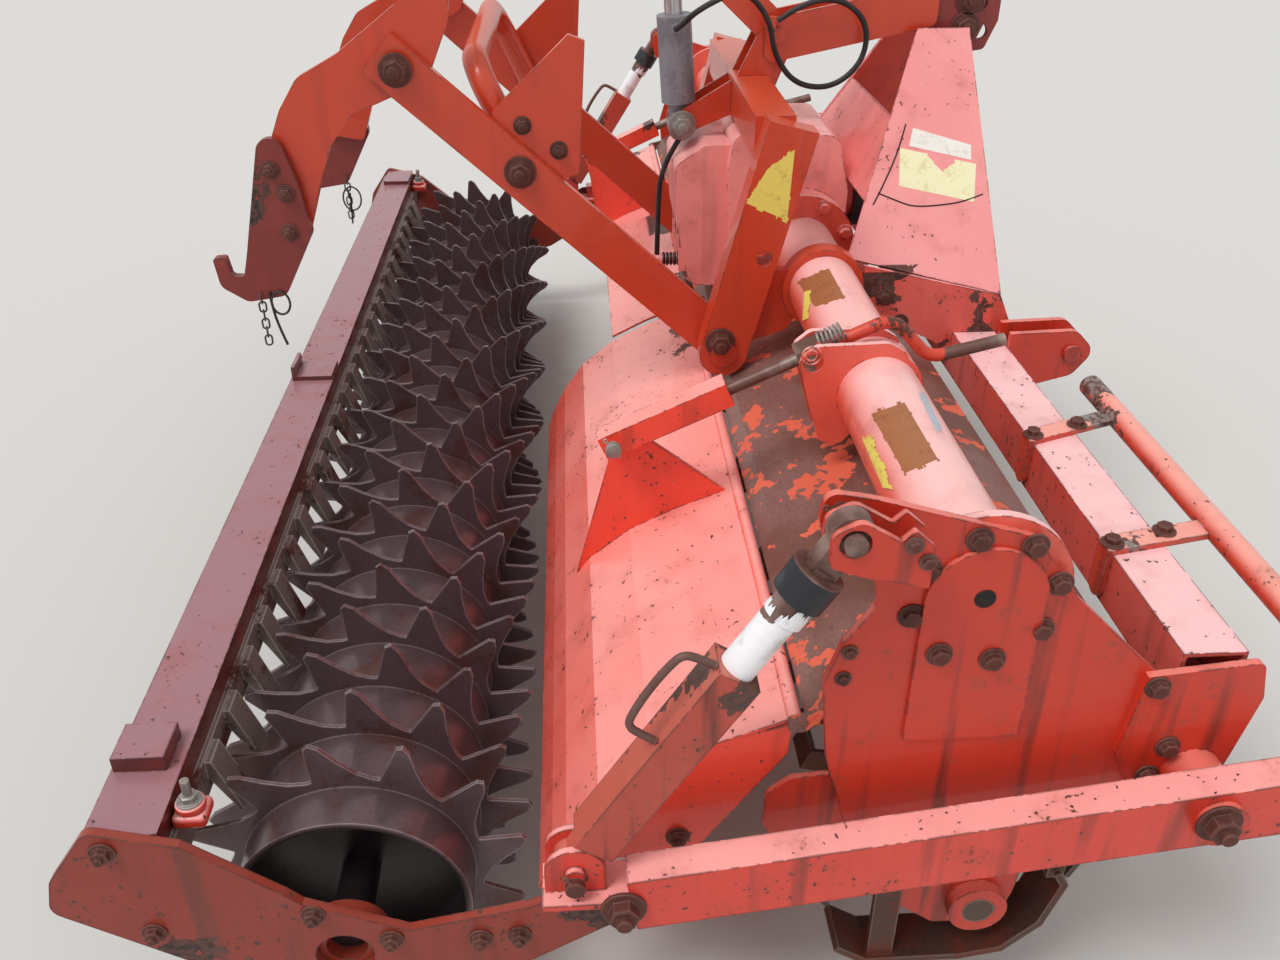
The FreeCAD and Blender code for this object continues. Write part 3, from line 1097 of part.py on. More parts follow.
# The fin's corners: distance back from the arm's rear pivot, height over the arm's middle line
FIN_OUTLINE = [(199, 38), (184, 55), (202, 258), (233, 270), (388, 75), (366, 28)]
for side, sign in SIDES:
    length = VALUE["lift_len"]
    d = VALUE["lift_d"] / 2
    x0 = VALUE["lift_x"] if sign > 0 else -VALUE["lift_x"] - VALUE["lift_t"]
    bar = Part.makeBox(VALUE["lift_t"], length + d, 2 * d, Vector(x0, 0, -d))
    bar = bar.fuse(Part.makeCylinder(d, VALUE["lift_t"], Vector(x0, 0, 0), Vector(1, 0, 0)))
    bar = bar.cut(Part.makeCylinder(VALUE["lift_pin_r"] + VALUE["play"], VALUE["lift_t"] + 2, Vector(x0 - 1, 0, 0),
                                    Vector(1, 0, 0)))
    bar = bar.fuse(Part.makeCylinder(VALUE["lift_pin_r"], VALUE["lift_t"] + 44,
                                     Vector(x0 - (32 if sign > 0 else 12), length, 0), Vector(1, 0, 0)))
    fin_x = VALUE["lift_x"] - FIN_T if sign > 0 else -VALUE["lift_x"]
    fin = Part.makePolygon([Vector(fin_x, length - back, -up) for back, up in FIN_OUTLINE + FIN_OUTLINE[:1]])
    fin = Part.Face(fin).extrude(Vector(FIN_T, 0, 0))
    arm_feature = shaped("lift_arm_shape_" + side, bar.fuse(fin))
    arm_feature.Placement = lift_place
    node(arm_feature, "lift_arm_" + side)
arch_r = VALUE["arch_r"]
arch_x = VALUE["lift_x"] - FIN_T - arch_r
arch_low = (VALUE["lift_len"] - 301, -10)
arch_high = (VALUE["lift_len"] - 106, -92)
arch = bent_bar([Vector(arch_x, *arch_low), Vector(arch_x, *arch_high), Vector(-arch_x, *arch_high),
                 Vector(-arch_x, *arch_low)], arch_r, (70, 70))
arch_feature = shaped("lift_arch_shape", arch)
arch_feature.Placement = lift_place
node(arch_feature, "lift_cross_tube")

# Goosenecks with the hook plates, and the head that joins them

head_y, head_z = VALUE["head_y"], VALUE["head_z"]
NECK_OUTLINE = [
    # pivot that the corner belongs to, y and z from it, corner radius
    ("head", 41, 35, 30),
    ("head", -35, 35, 30),
    ("neck", 22, 121, 60),
    ("neck", -110, 25, 60),
    ("neck", -190, -17, 40),
    ("neck", -230, -75, 40),
    ("neck", -266, -155, 30),
    ("neck", -310, -305, 12),
    ("neck", -210, -325, 12),
    ("neck", -174, -223, 40),
    ("neck", -144, -145, 40),
    ("neck", -94, -86, 30),
    ("neck", -15, -54, 20),
    ("neck", 60, -15, 20),
    ("neck", 100, 75, 0),
]
HOOK_OUTLINE = [
    ("neck", -236, -123, 26),
    ("neck", -276, -123, 26),
    ("neck", -334, -350, 0),
    ("neck", -348, -399, 8),
    ("neck", -372, -397, 8),
    ("neck", -378, -357, 6),
    ("neck", -404, -359, 6),
    ("neck", -398, -419, 24),
    ("neck", -348, -453, 24),
    ("neck", -270, -441, 24),
    ("neck", -198, -310, 24),
    ("neck", -210, -215, 24),
]


def from_pivots(rows):
    return [(f"{pivot}_y + ({y})", f"{pivot}_z + ({z})", radius) for pivot, y, z, radius in rows]


for side, sign in SIDES:
    inner = "lift_x - lift_gap - neck_t"
    neck = side_plate_pad("neck_" + side, sign, from_pivots(NECK_OUTLINE), inner, "neck_t",
                          [("neck_y", "neck_z", "lift_pin_r + play")])
    node(neck, "gooseneck_" + side)
    hook = side_plate_pad("hook_" + side, sign, from_pivots(HOOK_OUTLINE), "lift_x - lift_gap", "neck_t")
    node(hook, "lift_hook_" + side)
head_pieces = [cylinder_x("head_tube", "head_y - 13", "head_z - 92", 30, "-(lift_x - lift_gap - neck_t)",
                          "2 * (lift_x - lift_gap - neck_t)")]
for side, sign in SIDES:
    head_pieces.append(side_plate_pad("head_lug_" + side, sign, [
        ("head_y - 34", "head_z", 24),
        ("head_y", "head_z + 34", 24),
        ("head_y + 34", "head_z", 20),
        ("head_y + 14", "head_z - 90", 0),
        ("head_y - 40", "head_z - 90", 0),
    ], "upper_half_gap + 2", 14))
head_pieces.append(cylinder_x("head_pin", "head_y", "head_z", "cyl_pin_r", "-upper_half_gap - 20", "2 * upper_half_gap + 40"))
node(fuse("head_all", head_pieces), "lift_head")

# Upper arm, over the cylinder

upper_len = VALUE["lift_len"]
half = VALUE["upper_half_gap"]
strap_t = 12
arm_shape = None
for sign in (1, -1):
    x0 = half - strap_t if sign > 0 else -half
    strap = Part.makeBox(strap_t, upper_len + 60, 70, Vector(x0, -30, -35))
    for along in (0, upper_len):
        strap = strap.cut(Part.makeCylinder(VALUE["cyl_pin_r"] + VALUE["play"], strap_t + 2, Vector(x0 - 1, along, 0),
                                            Vector(1, 0, 0)))
    arm_shape = strap if arm_shape is None else arm_shape.fuse(strap)
# The ties between the straps: distance along the arm, length
for along, tie_len in ((480, 120), (640, 60)):
    arm_shape = arm_shape.fuse(Part.makeBox(2 * half - 2, tie_len, 12, Vector(-half + 1, along, -34)))
eye_along = (VALUE["cyl_eye_reach"] * VALUE["lift_reach"] + VALUE["cyl_eye_rise"] * VALUE["lift_rise"]) / upper_len
eye_across = (VALUE["cyl_eye_reach"] * VALUE["lift_rise"] - VALUE["cyl_eye_rise"] * VALUE["lift_reach"]) / upper_len
arm_shape = arm_shape.fuse(Part.makeCylinder(VALUE["cyl_pin_r"], 2 * half + 16, Vector(-half - 8, eye_along, eye_across),
                                             Vector(1, 0, 0)))
upper_feature = shaped("upper_arm_shape", arm_shape)
upper_feature.Placement = FreeCAD.Placement(Vector(0, VALUE["upper_y"], VALUE["upper_z"]),
                                            Rotation(Vector(1, 0, 0), lift_slope))
node(upper_feature, "lift_upper_arm")

# Lift cylinder

eye_y = VALUE["upper_y"] - VALUE["cyl_eye_reach"]
eye_z = VALUE["upper_z"] + VALUE["cyl_eye_rise"]
run = Vector(0, eye_y - VALUE["cyl_y"], eye_z - VALUE["cyl_z"])
tilt = math.degrees(math.atan2(run.z, run.y)) - 90
place = FreeCAD.Placement(Vector(0, VALUE["cyl_y"], VALUE["cyl_z"]), Rotation(Vector(1, 0, 0), tilt))
barrel = Part.makeCylinder(VALUE["cyl_r"], VALUE["cyl_len"] - 54, Vector(0, 0, 54), Vector(0, 0, 1))
barrel = barrel.fuse(Part.makeCylinder(24, 40, Vector(0, 0, 18), Vector(0, 0, 1)))
barrel = barrel.fuse(Part.makeCylinder(28, 60, Vector(-30, 0, 0), Vector(1, 0, 0)))
barrel = barrel.fuse(Part.makeCylinder(9, 18, Vector(30, 0, 215), Vector(1, 0, 0)))
barrel = barrel.cut(Part.makeCylinder(VALUE["cyl_pin_r"] + VALUE["play"], 64, Vector(-32, 0, 0), Vector(1, 0, 0)))
barrel = barrel.cut(Part.makeCylinder(VALUE["cyl_rod_r"] + VALUE["play"], VALUE["cyl_len"], Vector(0, 0, 60),
                                      Vector(0, 0, 1)))
barrel_feature = shaped("barrel_shape", barrel)
barrel_feature.Placement = place
node(barrel_feature, "lift_cylinder")
rod = Part.makeCylinder(VALUE["cyl_rod_r"], run.Length - 180, Vector(0, 0, 170), Vector(0, 0, 1))
rod = rod.fuse(Part.makeCylinder(32, 2 * (half - strap_t) - 2, Vector(-(half - strap_t) + 1, 0, run.Length), Vector(1, 0, 0)))
rod = rod.cut(Part.makeCylinder(VALUE["cyl_pin_r"] + 4, 2 * half, Vector(-half, 0, run.Length), Vector(1, 0, 0)))
rod_feature = shaped("rod_shape", rod)
rod_feature.Placement = place
node(rod_feature, "lift_rod")

# Hydraulic hoses: the loop from the cylinder's port to the clip, and the one down to the gearbox

HOSES = {
    "hose_loop": [(50.2, -275.5, 1270.5), (118, -272, 1288), (170, -240, 1330), (160, -150, 1368), (130, -88, 1305),
                  (104, -70, 1225), (88, -18, 1160), (82, 66, 1150), (82, 130, 1205), (82, 132, 1285),
                  (80, 72, 1334), (73, -8, 1326), (66.5, -60.2, 1288)],
    "hose_low": [(50, -265, 1038.3), (50, -306, 975), (50, -312, 880), (50, -314, 769.5)],
}
for name, route in HOSES.items():
    points = [Vector(*point) for point in route]
    bends = hose_bends(points)
    print(name, "radii", [round(bend) for bend in bends], "least allowed", 10 * VALUE["hose_r"])
    node(shaped(name + "_shape", bent_bar(points, VALUE["hose_r"], bends)), name)

# Check every object, then write each sub-part

doc.recompute()
failed = [obj.Name for obj in doc.Objects if "Invalid" in obj.State or "Error" in obj.State]
if failed:
    raise RuntimeError(f"these did not build: {failed}")
for name, obj in nodes:
    if obj.Shape.isNull() or not obj.Shape.isValid():
        raise RuntimeError(f"{name} has no valid shape")
    obj.Shape.exportStep(f"parts/{name}.step")
    box = obj.Shape.BoundBox
    print(f"{name:24s} solids {len(obj.Shape.Solids)} x {box.XMin:8.1f} {box.XMax:8.1f} "
          f"y {box.YMin:8.1f} {box.YMax:8.1f} z {box.ZMin:8.1f} {box.ZMax:8.1f}")
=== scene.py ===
# %% [markdown]
# # A worn rotavator with a packer roller
# A rotavator breaks the soil with a turning rotor, and the toothed roller behind it presses the soil firm
# again. The CAD frame gives every solid at its real size, in metres, X across the machine, Y to the front and
# Z up. This lesson dresses it: red paint that the sun has turned pink, with a painted sky reflection on its
# upper faces, bare steel on the roller, bolts, chains, blank sheets, hoses and a torn sleeve. The frame's own
# meshes stay as they are and only get a finish.

# %% The frame
import bpy, math, random
from mathutils import Matrix, Vector
from mathutils.bvhtree import BVHTree


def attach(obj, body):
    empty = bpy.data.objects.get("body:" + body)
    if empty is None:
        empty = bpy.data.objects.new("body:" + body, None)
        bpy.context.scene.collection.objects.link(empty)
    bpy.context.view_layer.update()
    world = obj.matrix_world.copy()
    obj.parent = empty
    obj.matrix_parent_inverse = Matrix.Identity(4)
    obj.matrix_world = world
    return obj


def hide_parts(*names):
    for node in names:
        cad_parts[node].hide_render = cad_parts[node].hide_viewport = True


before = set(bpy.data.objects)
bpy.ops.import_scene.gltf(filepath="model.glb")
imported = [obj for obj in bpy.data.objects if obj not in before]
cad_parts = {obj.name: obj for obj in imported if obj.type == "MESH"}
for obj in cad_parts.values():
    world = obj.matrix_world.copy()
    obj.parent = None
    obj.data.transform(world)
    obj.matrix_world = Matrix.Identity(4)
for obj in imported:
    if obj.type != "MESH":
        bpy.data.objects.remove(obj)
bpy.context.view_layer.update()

# %% [markdown]
# ## Finishes as sums
# A finish is worked out per point: how far a surface looks up, how near it is to an edge, a few noises.
# Wiring such maths by hand fills a screen with small boxes, and a long list of links is hard to read. So one
# small class wraps a node's output and lets Python's own plus, minus and times add the nodes.

# %% A node's output that can be added and multiplied
class Flow:
    """An output of a node in a finish."""

    def __init__(self, finish, socket):
        self.finish, self.socket = finish, socket

    def maths(self, operation, a, b):
        return self.finish.node("ShaderNodeMath", {"operation": operation}, {0: a, 1: b})

    def __add__(self, other):
        return self.maths("ADD", self, other)

    def __sub__(self, other):
        return self.maths("SUBTRACT", self, other)

    def __rsub__(self, other):
        return self.maths("SUBTRACT", other, self)

    def __mul__(self, other):
        return self.maths("MULTIPLY", self, other)

    __radd__ = __add__
    __rmul__ = __mul__

    def ramp(self, low, high):
        """0 below low, 1 above high and a soft step between. low may be the larger one."""
        return self.finish.node("ShaderNodeMapRange", {"interpolation_type": "SMOOTHSTEP"},
                                {0: self, 1: low, 2: high})

# %% [markdown]
# ## Colours
# Colours are written as hex codes, as a picture editor shows them. A shader wants linear light, which the
# sRGB curve gives. Typing linear numbers would work as well, but nobody can picture them.

# %% A hex code as linear numbers
def colour(code):
    parts = [int(code[i:i + 2], 16) / 255 for i in (1, 3, 5)]
    return [p / 12.92 if p <= 0.04 else ((p + 0.055) / 1.055) ** 2.4 for p in parts] + [1]


print("old paint in linear light", [round(part, 3) for part in colour("#cc3620")])

# %% [markdown]
# ## What every finish knows
# Paint fades where a surface looks up, where a painted sky reflection lightens it as well, and wears at its
# edges. The place and the way up come from Object coordinates, so a pattern stays on its piece when a joint
# moves. Edges could be painted by hand on each mesh. Here the Bevel node finds them: where its rounded
# normal leaves the true one, an edge is near.

# %% A finish, with the masks that the paints share
class Finish:
    """A material with its place, its way up and its nearness to an edge as flows."""

    def __init__(self, name, edge=0.004):
        self.material = bpy.data.materials.new(name)
        self.material.use_nodes = True
        self.tree = self.material.node_tree
        self.skin = self.tree.nodes["Principled BSDF"]
        self.spot = self.node("ShaderNodeTexCoord", output="Object")
        self.x, self.y, self.z = [self.node("ShaderNodeSeparateXYZ", {}, {0: self.spot}, output=i)
                                  for i in range(3)]
        facing = self.node("ShaderNodeTexCoord", output="Normal")
        self.up = self.node("ShaderNodeSeparateXYZ", {}, {0: facing}, output=2)
        true = self.node("ShaderNodeNewGeometry", output="Normal")
        round_off = self.node("ShaderNodeBevel", {"samples": 4}, {"Radius": edge})
        turned = self.node("ShaderNodeVectorMath", {"operation": "DOT_PRODUCT"}, {0: true, 1: round_off},
                           output=1)
        self.edge = 1 - turned

    def node(self, kind, settings={}, inputs={}, output=0):
        """Adds one node, sets it first and then gives its sockets their values or links."""
        made = self.tree.nodes.new(kind)
        for key, value in settings.items():
            setattr(made, key, value)
        for key, value in inputs.items():
            if isinstance(value, Flow):
                self.tree.links.new(value.socket, made.inputs[key])
            else:
                made.inputs[key].default_value = value
        return Flow(self, made.outputs[output])

    def noise(self, scale, detail=4, stretch=(1, 1, 1)):
        where = self.node("ShaderNodeMapping", {}, {"Vector": self.spot, "Scale": stretch})
        return self.node("ShaderNodeTexNoise", {}, {"Vector": where, "Scale": scale, "Detail": detail})

    def mix(self, share, first, second):
        first, second = [colour(c) if isinstance(c, str) else c for c in (first, second)]
        return self.node("ShaderNodeMix", {"data_type": "RGBA"}, {0: share, 6: first, 7: second}, output=2)

    def wear(self, base, rough, bump=0, metal=0, coat=0):
        """Feeds the shader, and gives the material back so that it can be put on pieces."""
        feeds = {"Base Color": base, "Roughness": rough, "Metallic": metal, "Coat Weight": coat}
        for key, value in feeds.items():
            if isinstance(value, Flow):
                self.tree.links.new(value.socket, self.skin.inputs[key])
            else:
                self.skin.inputs[key].default_value = colour(value) if isinstance(value, str) else value
        if isinstance(bump, Flow):
            relief = self.node("ShaderNodeBump", {}, {"Height": bump, "Distance": 0.001, "Strength": 0.6})
            self.tree.links.new(relief.socket, self.skin.inputs["Normal"])
        return self.material

# %% [markdown]
# ## Old paint
# Red implement paint fades to pink where the sun and rain reach it, chips at edges down to dark primer and
# rust, and holds brown dirt in streaks that run down. Its pale colour on faces that look up is also a painted
# sky reflection on the glossy paint. A photographed texture would show the same chips on every part. One
# recipe with a few values serves all painted parts instead, because the real parts were sprayed together
# and differ by how they have weathered, and here also by the painted light each is given.

# %% The recipe for old paint
def old_paint(name, paint, faded_and_sheen, chip="#43221d", chips=0.5, grime=0.4, gloss=0.34, fade_from=0.0,
              bald=0.0, bald_where=None):
    """chips, grime and bald say how much paint has chipped, gone dirty or come off, bald_where says where."""
    f = Finish(name, edge=0.006)
    broad, middle, fine = f.noise(2.2, 3), f.noise(14, 5), f.noise(90, 4)
    # Faces that look up take the faded colour. That is sun-faded paint and also a painted sky reflection: the
    # pale pink stands in for the gloss highlight there.
    shade = f.mix((f.up + broad * 0.7).ramp(fade_from + 0.3, fade_from + 1.3), paint, faded_and_sheen)
    shade = f.mix(middle.ramp(0.45, 0.75) * 0.22, shade, "#b03a28")
    runs = f.noise(26, 4, (1, 1, 0.07)).ramp(0.54, 0.72) * f.up.ramp(0.6, 0.1)
    shade = f.mix(runs * grime, shade, "#6d2a1e")
    dirt = (middle * 0.6 + fine * 0.4).ramp(0.56, 0.68) * grime
    shade = f.mix(dirt * 0.5, shade, "#7a4a3c")
    rim = (f.edge * 3.2).ramp(0.12, 0.5)
    specks = (fine * 0.75 + middle * 0.25).ramp(0.63, 0.65)
    nibbled = (middle * 0.7 + fine * 0.6).ramp(0.68 - chips * 0.14, 0.76 - chips * 0.12)
    bare = rim * nibbled + specks * chips * 0.9
    if bald:
        shore = 0.62 - bald * 0.14
        islands = (f.noise(5.5, 4) * 0.75 + fine * 0.12 + rim * 0.05).ramp(shore, shore + 0.01)
        bare = bare + (islands * bald_where(f) if bald_where else islands)
    bare = bare.ramp(0.3, 0.5)
    shade = f.mix(bare, shade, f.mix(fine.ramp(0.4, 0.6), chip, "#5f3a30"))
    rough = gloss + fine * 0.14 + dirt * 0.25 + bare * 0.25
    return f.wear(shade, rough, fine * 0.3 + broad * 0.6 - bare * 1.2, coat=0.25)

# %% [markdown]
# ## The painted parts
# Each part gets its fresh red, its faded red with a painted sky reflection on its upper faces, and its own
# wear. The side plates stand steep and stay red, the front beam lies in the sun and is nearly pink, much of
# that a painted highlight, and the roller's end plates are darker, with much dirt. Two parts have lost paint
# in one area only, the headstock at its foot and the flap at its inner corner, so they pass a small function
# that says where.

# %% Paints of the frame
# Each paint's second colour is its sun-faded red together with a painted sky reflection on faces that look
# up, so on the beam and the headstock it is nearly white pink.
plate_paint = old_paint("plate_paint", "#cc3620", "#ea7a6c", grime=0.85, chips=0.35, fade_from=0.15)
arm_paint = old_paint("arm_paint", "#dc4030", "#ffaca6", grime=0.6, chips=1.0, fade_from=0.1)
tube_paint = old_paint("tube_paint", "#ea614e", "#ffc4c0", grime=0.2, chips=0.25, gloss=0.26)
headstock_paint = old_paint("headstock_paint", "#e0503e", "#fba8a8", grime=0.25, chips=0.5, gloss=0.4,
                            fade_from=-0.1, bald=0.9, bald_where=lambda f: f.z.ramp(0.865, 0.845))
flap_paint = old_paint("flap_paint", "#fb503a", "#ffa8a0", grime=0.35, chips=0.75, gloss=0.22, fade_from=0.12,
                       bald=1.25, bald_where=lambda f: f.y.ramp(0.02, 0.1) * f.x.ramp(0.36, 0.22))
# Painted light: the gearbox's two colours are both pale, and fade_from -0.5 spreads the paler one over nearly
# every face, so it looks lit all round besides faded.
casting_paint = old_paint("casting_paint", "#f7877e", "#ffb0ac", grime=0.25, chips=0.35, gloss=0.45,
                          fade_from=-0.5)
beam_paint = old_paint("beam_paint", "#df4c38", "#fec8c8", grime=0.4, chips=0.9, gloss=0.26, fade_from=-0.2)
rail_paint = old_paint("rail_paint", "#d94a34", "#f6a596", chip="#8a827f", grime=0.5, chips=0.9, gloss=0.32,
                       bald=0.8)
print("paints of the frame", 8)

# %% Paints of the lift and of the roller's frame
lift_paint = old_paint("lift_paint", "#cb4123", "#d24f2e", chip="#3a2420", grime=0.15, chips=0.3, gloss=0.26)
end_plate_paint = old_paint("end_plate_paint", "#8c2a18", "#963624", chip="#2c1a18", grime=0.8, chips=1.0,
                            gloss=0.42, bald=0.75)
top_plate_paint = old_paint("top_plate_paint", "#8c2f2c", "#9c5350", grime=0.8, chips=0.6, gloss=0.5)
hook_paint = old_paint("hook_paint", "#802822", "#8a3a33", chip="#241a1a", grime=0.9, chips=0.8, gloss=0.46,
                       bald=0.7)
# Painted sheen: the roller beam's second colour, a pale bluish pink on faces that look up, is a painted
# reflection on its dark paint, not a faded red.
roller_beam_paint = old_paint("roller_beam_paint", "#5a2422", "#a0727a", chip="#2a1c1c", grime=0.3, chips=0.6,
                              gloss=0.28)
depth_tube_paint = old_paint("depth_tube_paint", "#b84636", "#cd6a58", chip="#4a3430", grime=1.0, chips=1.0,
                             gloss=0.38, bald=0.8)
print("paints of the lift and the roller's frame", 6)

# %% [markdown]
# ## The worn deck
# Soil thrown over the hood has rubbed most of its paint away. What is left is smooth brown steel with orange
# flakes. Flakes could be modelled as thin islands, but they are thinner than a sheet of paper. So two noises
# are cut hard, one for the large islands of paint and one for their ragged rims, and feed the bump as well.

# %% The deck's finish
def worn_deck():
    f = Finish("worn_deck")
    islands = (f.noise(9, 5) * 0.65 + f.noise(48, 5) * 0.35).ramp(0.545, 0.56)
    # Painted sheen: the paler purplish brown, mixed in broad patches, stands in for sheen on the smooth
    # steel; the darker brown is the steel's own colour.
    film_and_sheen = f.mix(f.noise(5, 3).ramp(0.35, 0.65), "#6c4439", "#88625c")
    film_and_sheen = f.mix(f.noise(160, 3).ramp(0.5, 0.7) * 0.5, film_and_sheen, "#5a382e")
    rough = 0.34 + islands * 0.2 + f.noise(60) * 0.15
    return f.wear(f.mix(islands, film_and_sheen, "#e0664a"), rough, islands * 0.8 + f.noise(120) * 0.4)


deck_finish = worn_deck()
print("deck finish has", len(deck_finish.node_tree.nodes), "shader nodes")

# %% [markdown]
# ## Bare steels
# The roller, the blades and the scrapers are polished by soil and then rust in the rain. Their edges shine,
# their hollows stay brown. The drum is a tube, and its inside is darkened as painted shade. A second
# material on the inner faces would do that, but the frame's faces aren't touched, so the finish measures how
# far a point lies from the roller's axis.

# %% The recipe for steel
roller_axis, drum_bore = (-0.525, 0.265), 0.172
print("the drum's inside is dark up to", drum_bore, "m from its axis")


def steel(name, dark, bright, rust="#5b3427", rust_share=0.4, rough=0.42, metal=0.6, shaded_bore=None):
    """The bore argument is the y, the z and the radius of a bore whose inside gets painted shade."""
    f = Finish(name, edge=0.005)
    patch, grit = f.noise(11, 5), f.noise(110, 3)
    shade = f.mix((f.edge * 2.5).ramp(0.05, 0.5) * 0.8 + grit * 0.15, dark, bright)
    shade = f.mix((patch * 0.7 + grit * 0.3).ramp(0.5, 0.62) * rust_share, shade, rust)
    if shaded_bore:
        y, z, radius = shaded_bore
        off_y, off_z = f.y - y, f.z - z
        # Painted shade: points inside the drum's bore are darkened, as the inside of the tube lies in shade.
        inside = (off_y * off_y + off_z * off_z).ramp(radius ** 2 * 1.02, radius ** 2 * 0.98)
        shade = f.mix(inside * 0.85, shade, "#120d0d")
    return f.wear(shade, rough + patch * 0.25, grit * 0.6 + patch * 0.4, metal)


# %% The steels
# Painted sheen: the roller's dark tone is a light bluish grey that stands in for the sheen of wet steel; its
# pale edges are polished steel.
roller_steel = steel("roller_steel", "#5c474b", "#b4a6a8", rust="#5a3222", rust_share=0.6, rough=0.2,
                     metal=0.4, shaded_bore=(*roller_axis, drum_bore))
skid_steel = steel("skid_steel", "#4a2f28", "#9a8478", rust="#7a3522", rust_share=0.6, rough=0.4, metal=0.3)
blade_steel = steel("blade_steel", "#5d4c44", "#a89c94", rust="#74452f", rust_share=0.7, rough=0.45)
scraper_steel = steel("scraper_steel", "#7d6c66", "#e4ded8", rust="#5d2a24", rust_share=1.0, rough=0.4,
                      metal=0.25)
bolt_steel = steel("bolt_steel", "#5c2c24", "#8d6a60", rust="#3c211c", rust_share=0.6, rough=0.5, metal=0.3)
zinc_steel = steel("zinc_steel", "#8f8a86", "#c9c5c0", rust="#6e4a3c", rust_share=0.5, rough=0.4, metal=0.5)
barrel_silver = steel("barrel_silver", "#8c8c94", "#b8b8be", rust="#4c4646", rust_share=0.35, rough=0.4,
                      metal=0.3)
rod_chrome = steel("rod_chrome", "#b9b9bd", "#dcdce0", rust="#8a8480", rust_share=0.15, rough=0.18,
                   metal=0.95)
rod_steel = steel("rod_steel", "#6a4a42", "#a3948c", rust="#5b3023", rust_share=0.6, rough=0.45, metal=0.4)
dark_steel = steel("dark_steel", "#2f2828", "#6a6260", rust="#3c2a24", rust_share=0.5, rough=0.5, metal=0.4)
print("steels", 10)

# %% [markdown]
# ## Plastic, rubber and thin films
# The shaft guard and the hoses are black with pale dust, and the old stickers are thin films that have gone
# blotchy. Both kinds are one tone with a second one in soft spots, which needs no more than a noise each.

# %% Black plastic and rubber
def black(name, tone, dust, rough):
    f = Finish(name)
    haze = f.noise(20, 5).ramp(0.45, 0.7)
    return f.wear(f.mix(haze * 0.5, tone, dust), rough + haze * 0.2, f.noise(200, 2) * 0.3)


guard_plastic = black("guard_plastic", "#1c1c1e", "#55504a", 0.45)
hose_rubber = black("hose_rubber", "#141416", "#4a4644", 0.5)
# Painted shade: this near black stands for the shade inside the sight hole and inside the leg's open seams.
painted_shade_dark = black("painted_shade_dark", "#1a1212", "#3a2622", 0.7)
print("blacks", 3)

# %% Thin films
def film_finish(name, tone, stain):
    f = Finish(name)
    spots = (f.noise(30, 5) * 0.6 + f.noise(140, 3) * 0.4).ramp(0.5, 0.68)
    return f.wear(f.mix(spots * 0.7, tone, stain), 0.42 + spots * 0.3, f.noise(90, 3) * 0.4)


sleeve_plastic = film_finish("sleeve_plastic", "#f0eff2", "#a7989a")
white_film = film_finish("white_film", "#f3efe6", "#cfc6b8")
yellow_film = film_finish("yellow_film", "#ecd867", "#b79f4a")
brown_film = film_finish("brown_film", "#a4673f", "#8a4e32")
silver_film = film_finish("silver_film", "#b9bcc8", "#8e8790")
pale_film = film_finish("pale_film", "#f6f0c4", "#d8cb92")
print("films", 6)

# %% [markdown]
# ## The depth spindle
# One turned solid holds the screw, its white sleeve and its black cap. Cutting it in three would give each a
# material of its own, but the frame stays whole, so its finish changes along the spindle's own line. The
# distance along that line is a dot product of the point with the line's direction.

# %% Spindle zones along its line
low_eye, high_eye = Vector((1.55, -0.187, 0.434)), Vector((1.55, 0.148, 0.972))
line = (high_eye - low_eye).normalized()
length = (high_eye - low_eye).length
sleeve_low, sleeve_high = 0.3, length - 0.108
cap_low, cap_high = length - 0.105, length - 0.0602
sharp = 0.001
print("spindle line", [round(v, 3) for v in line], "length", round(length, 3))


def spindle_finish():
    f = Finish("spindle_rod_finish")
    along = f.y * line.y + f.z * line.z - (low_eye.y * line.y + low_eye.z * line.z)
    dust = f.noise(22, 5)
    white = f.mix(dust.ramp(0.52, 0.7) * 0.6, "#f3f1f4", "#b9aaa6")
    capped = along.ramp(cap_low, cap_low + sharp) * along.ramp(cap_high, cap_high - sharp)
    split = along + f.noise(26, 4) * 0.06
    sleeved = along.ramp(sleeve_low, sleeve_low + sharp) * split.ramp(sleeve_high, sleeve_high - 1.5 * sharp)
    metal = f.mix(dust.ramp(0.4, 0.65), "#5f4039", "#8a6f66")
    shade = f.mix(sleeved, metal, white)
    shade = f.mix(capped, shade, f.mix(dust.ramp(0.5, 0.7) * 0.4, "#1d1f26", "#5a5d69"))
    return f.wear(shade, 0.36 + dust * 0.25, f.noise(120, 3) * 0.5)


spindle_skin = spindle_finish()

# %% [markdown]
# ## The strut's screw
# It is bare steel up to its trunnion, then painted, and worn bare again at the crank's grip. It runs to the
# front, so the finish only has to look at Y, and a noise added to Y makes both ends of the paint uneven.

# %% The screw's finish
paint_start, paint_end = 0.262, 0.5


def crank_finish():
    f = Finish("crank_finish")
    grit, patch = f.noise(110, 3), f.noise(14, 5)
    metal = f.mix(patch.ramp(0.4, 0.65), "#6b4c44", "#a3948c")
    paint = f.mix((patch * 0.6 + grit * 0.4).ramp(0.54, 0.6), "#d5452f", "#5d3026")
    painted = ((f.y + patch * 0.06).ramp(paint_start, paint_start + 0.004)
               * (f.y + patch * 0.1).ramp(paint_end, paint_end - 0.01))
    return f.wear(f.mix(painted, metal, paint), 0.4 + grit * 0.15, grit * 0.5, 0.35 - painted * 0.35)


crank_skin = crank_finish()
print("screws are painted from", paint_start, "to", paint_end)

# %% [markdown]
# ## Dressing the frame
# Every solid of the frame gets one finish. The table names a part once, and the loop also finds its right and
# left twins, which is shorter than a line for each of them and can't forget one side.

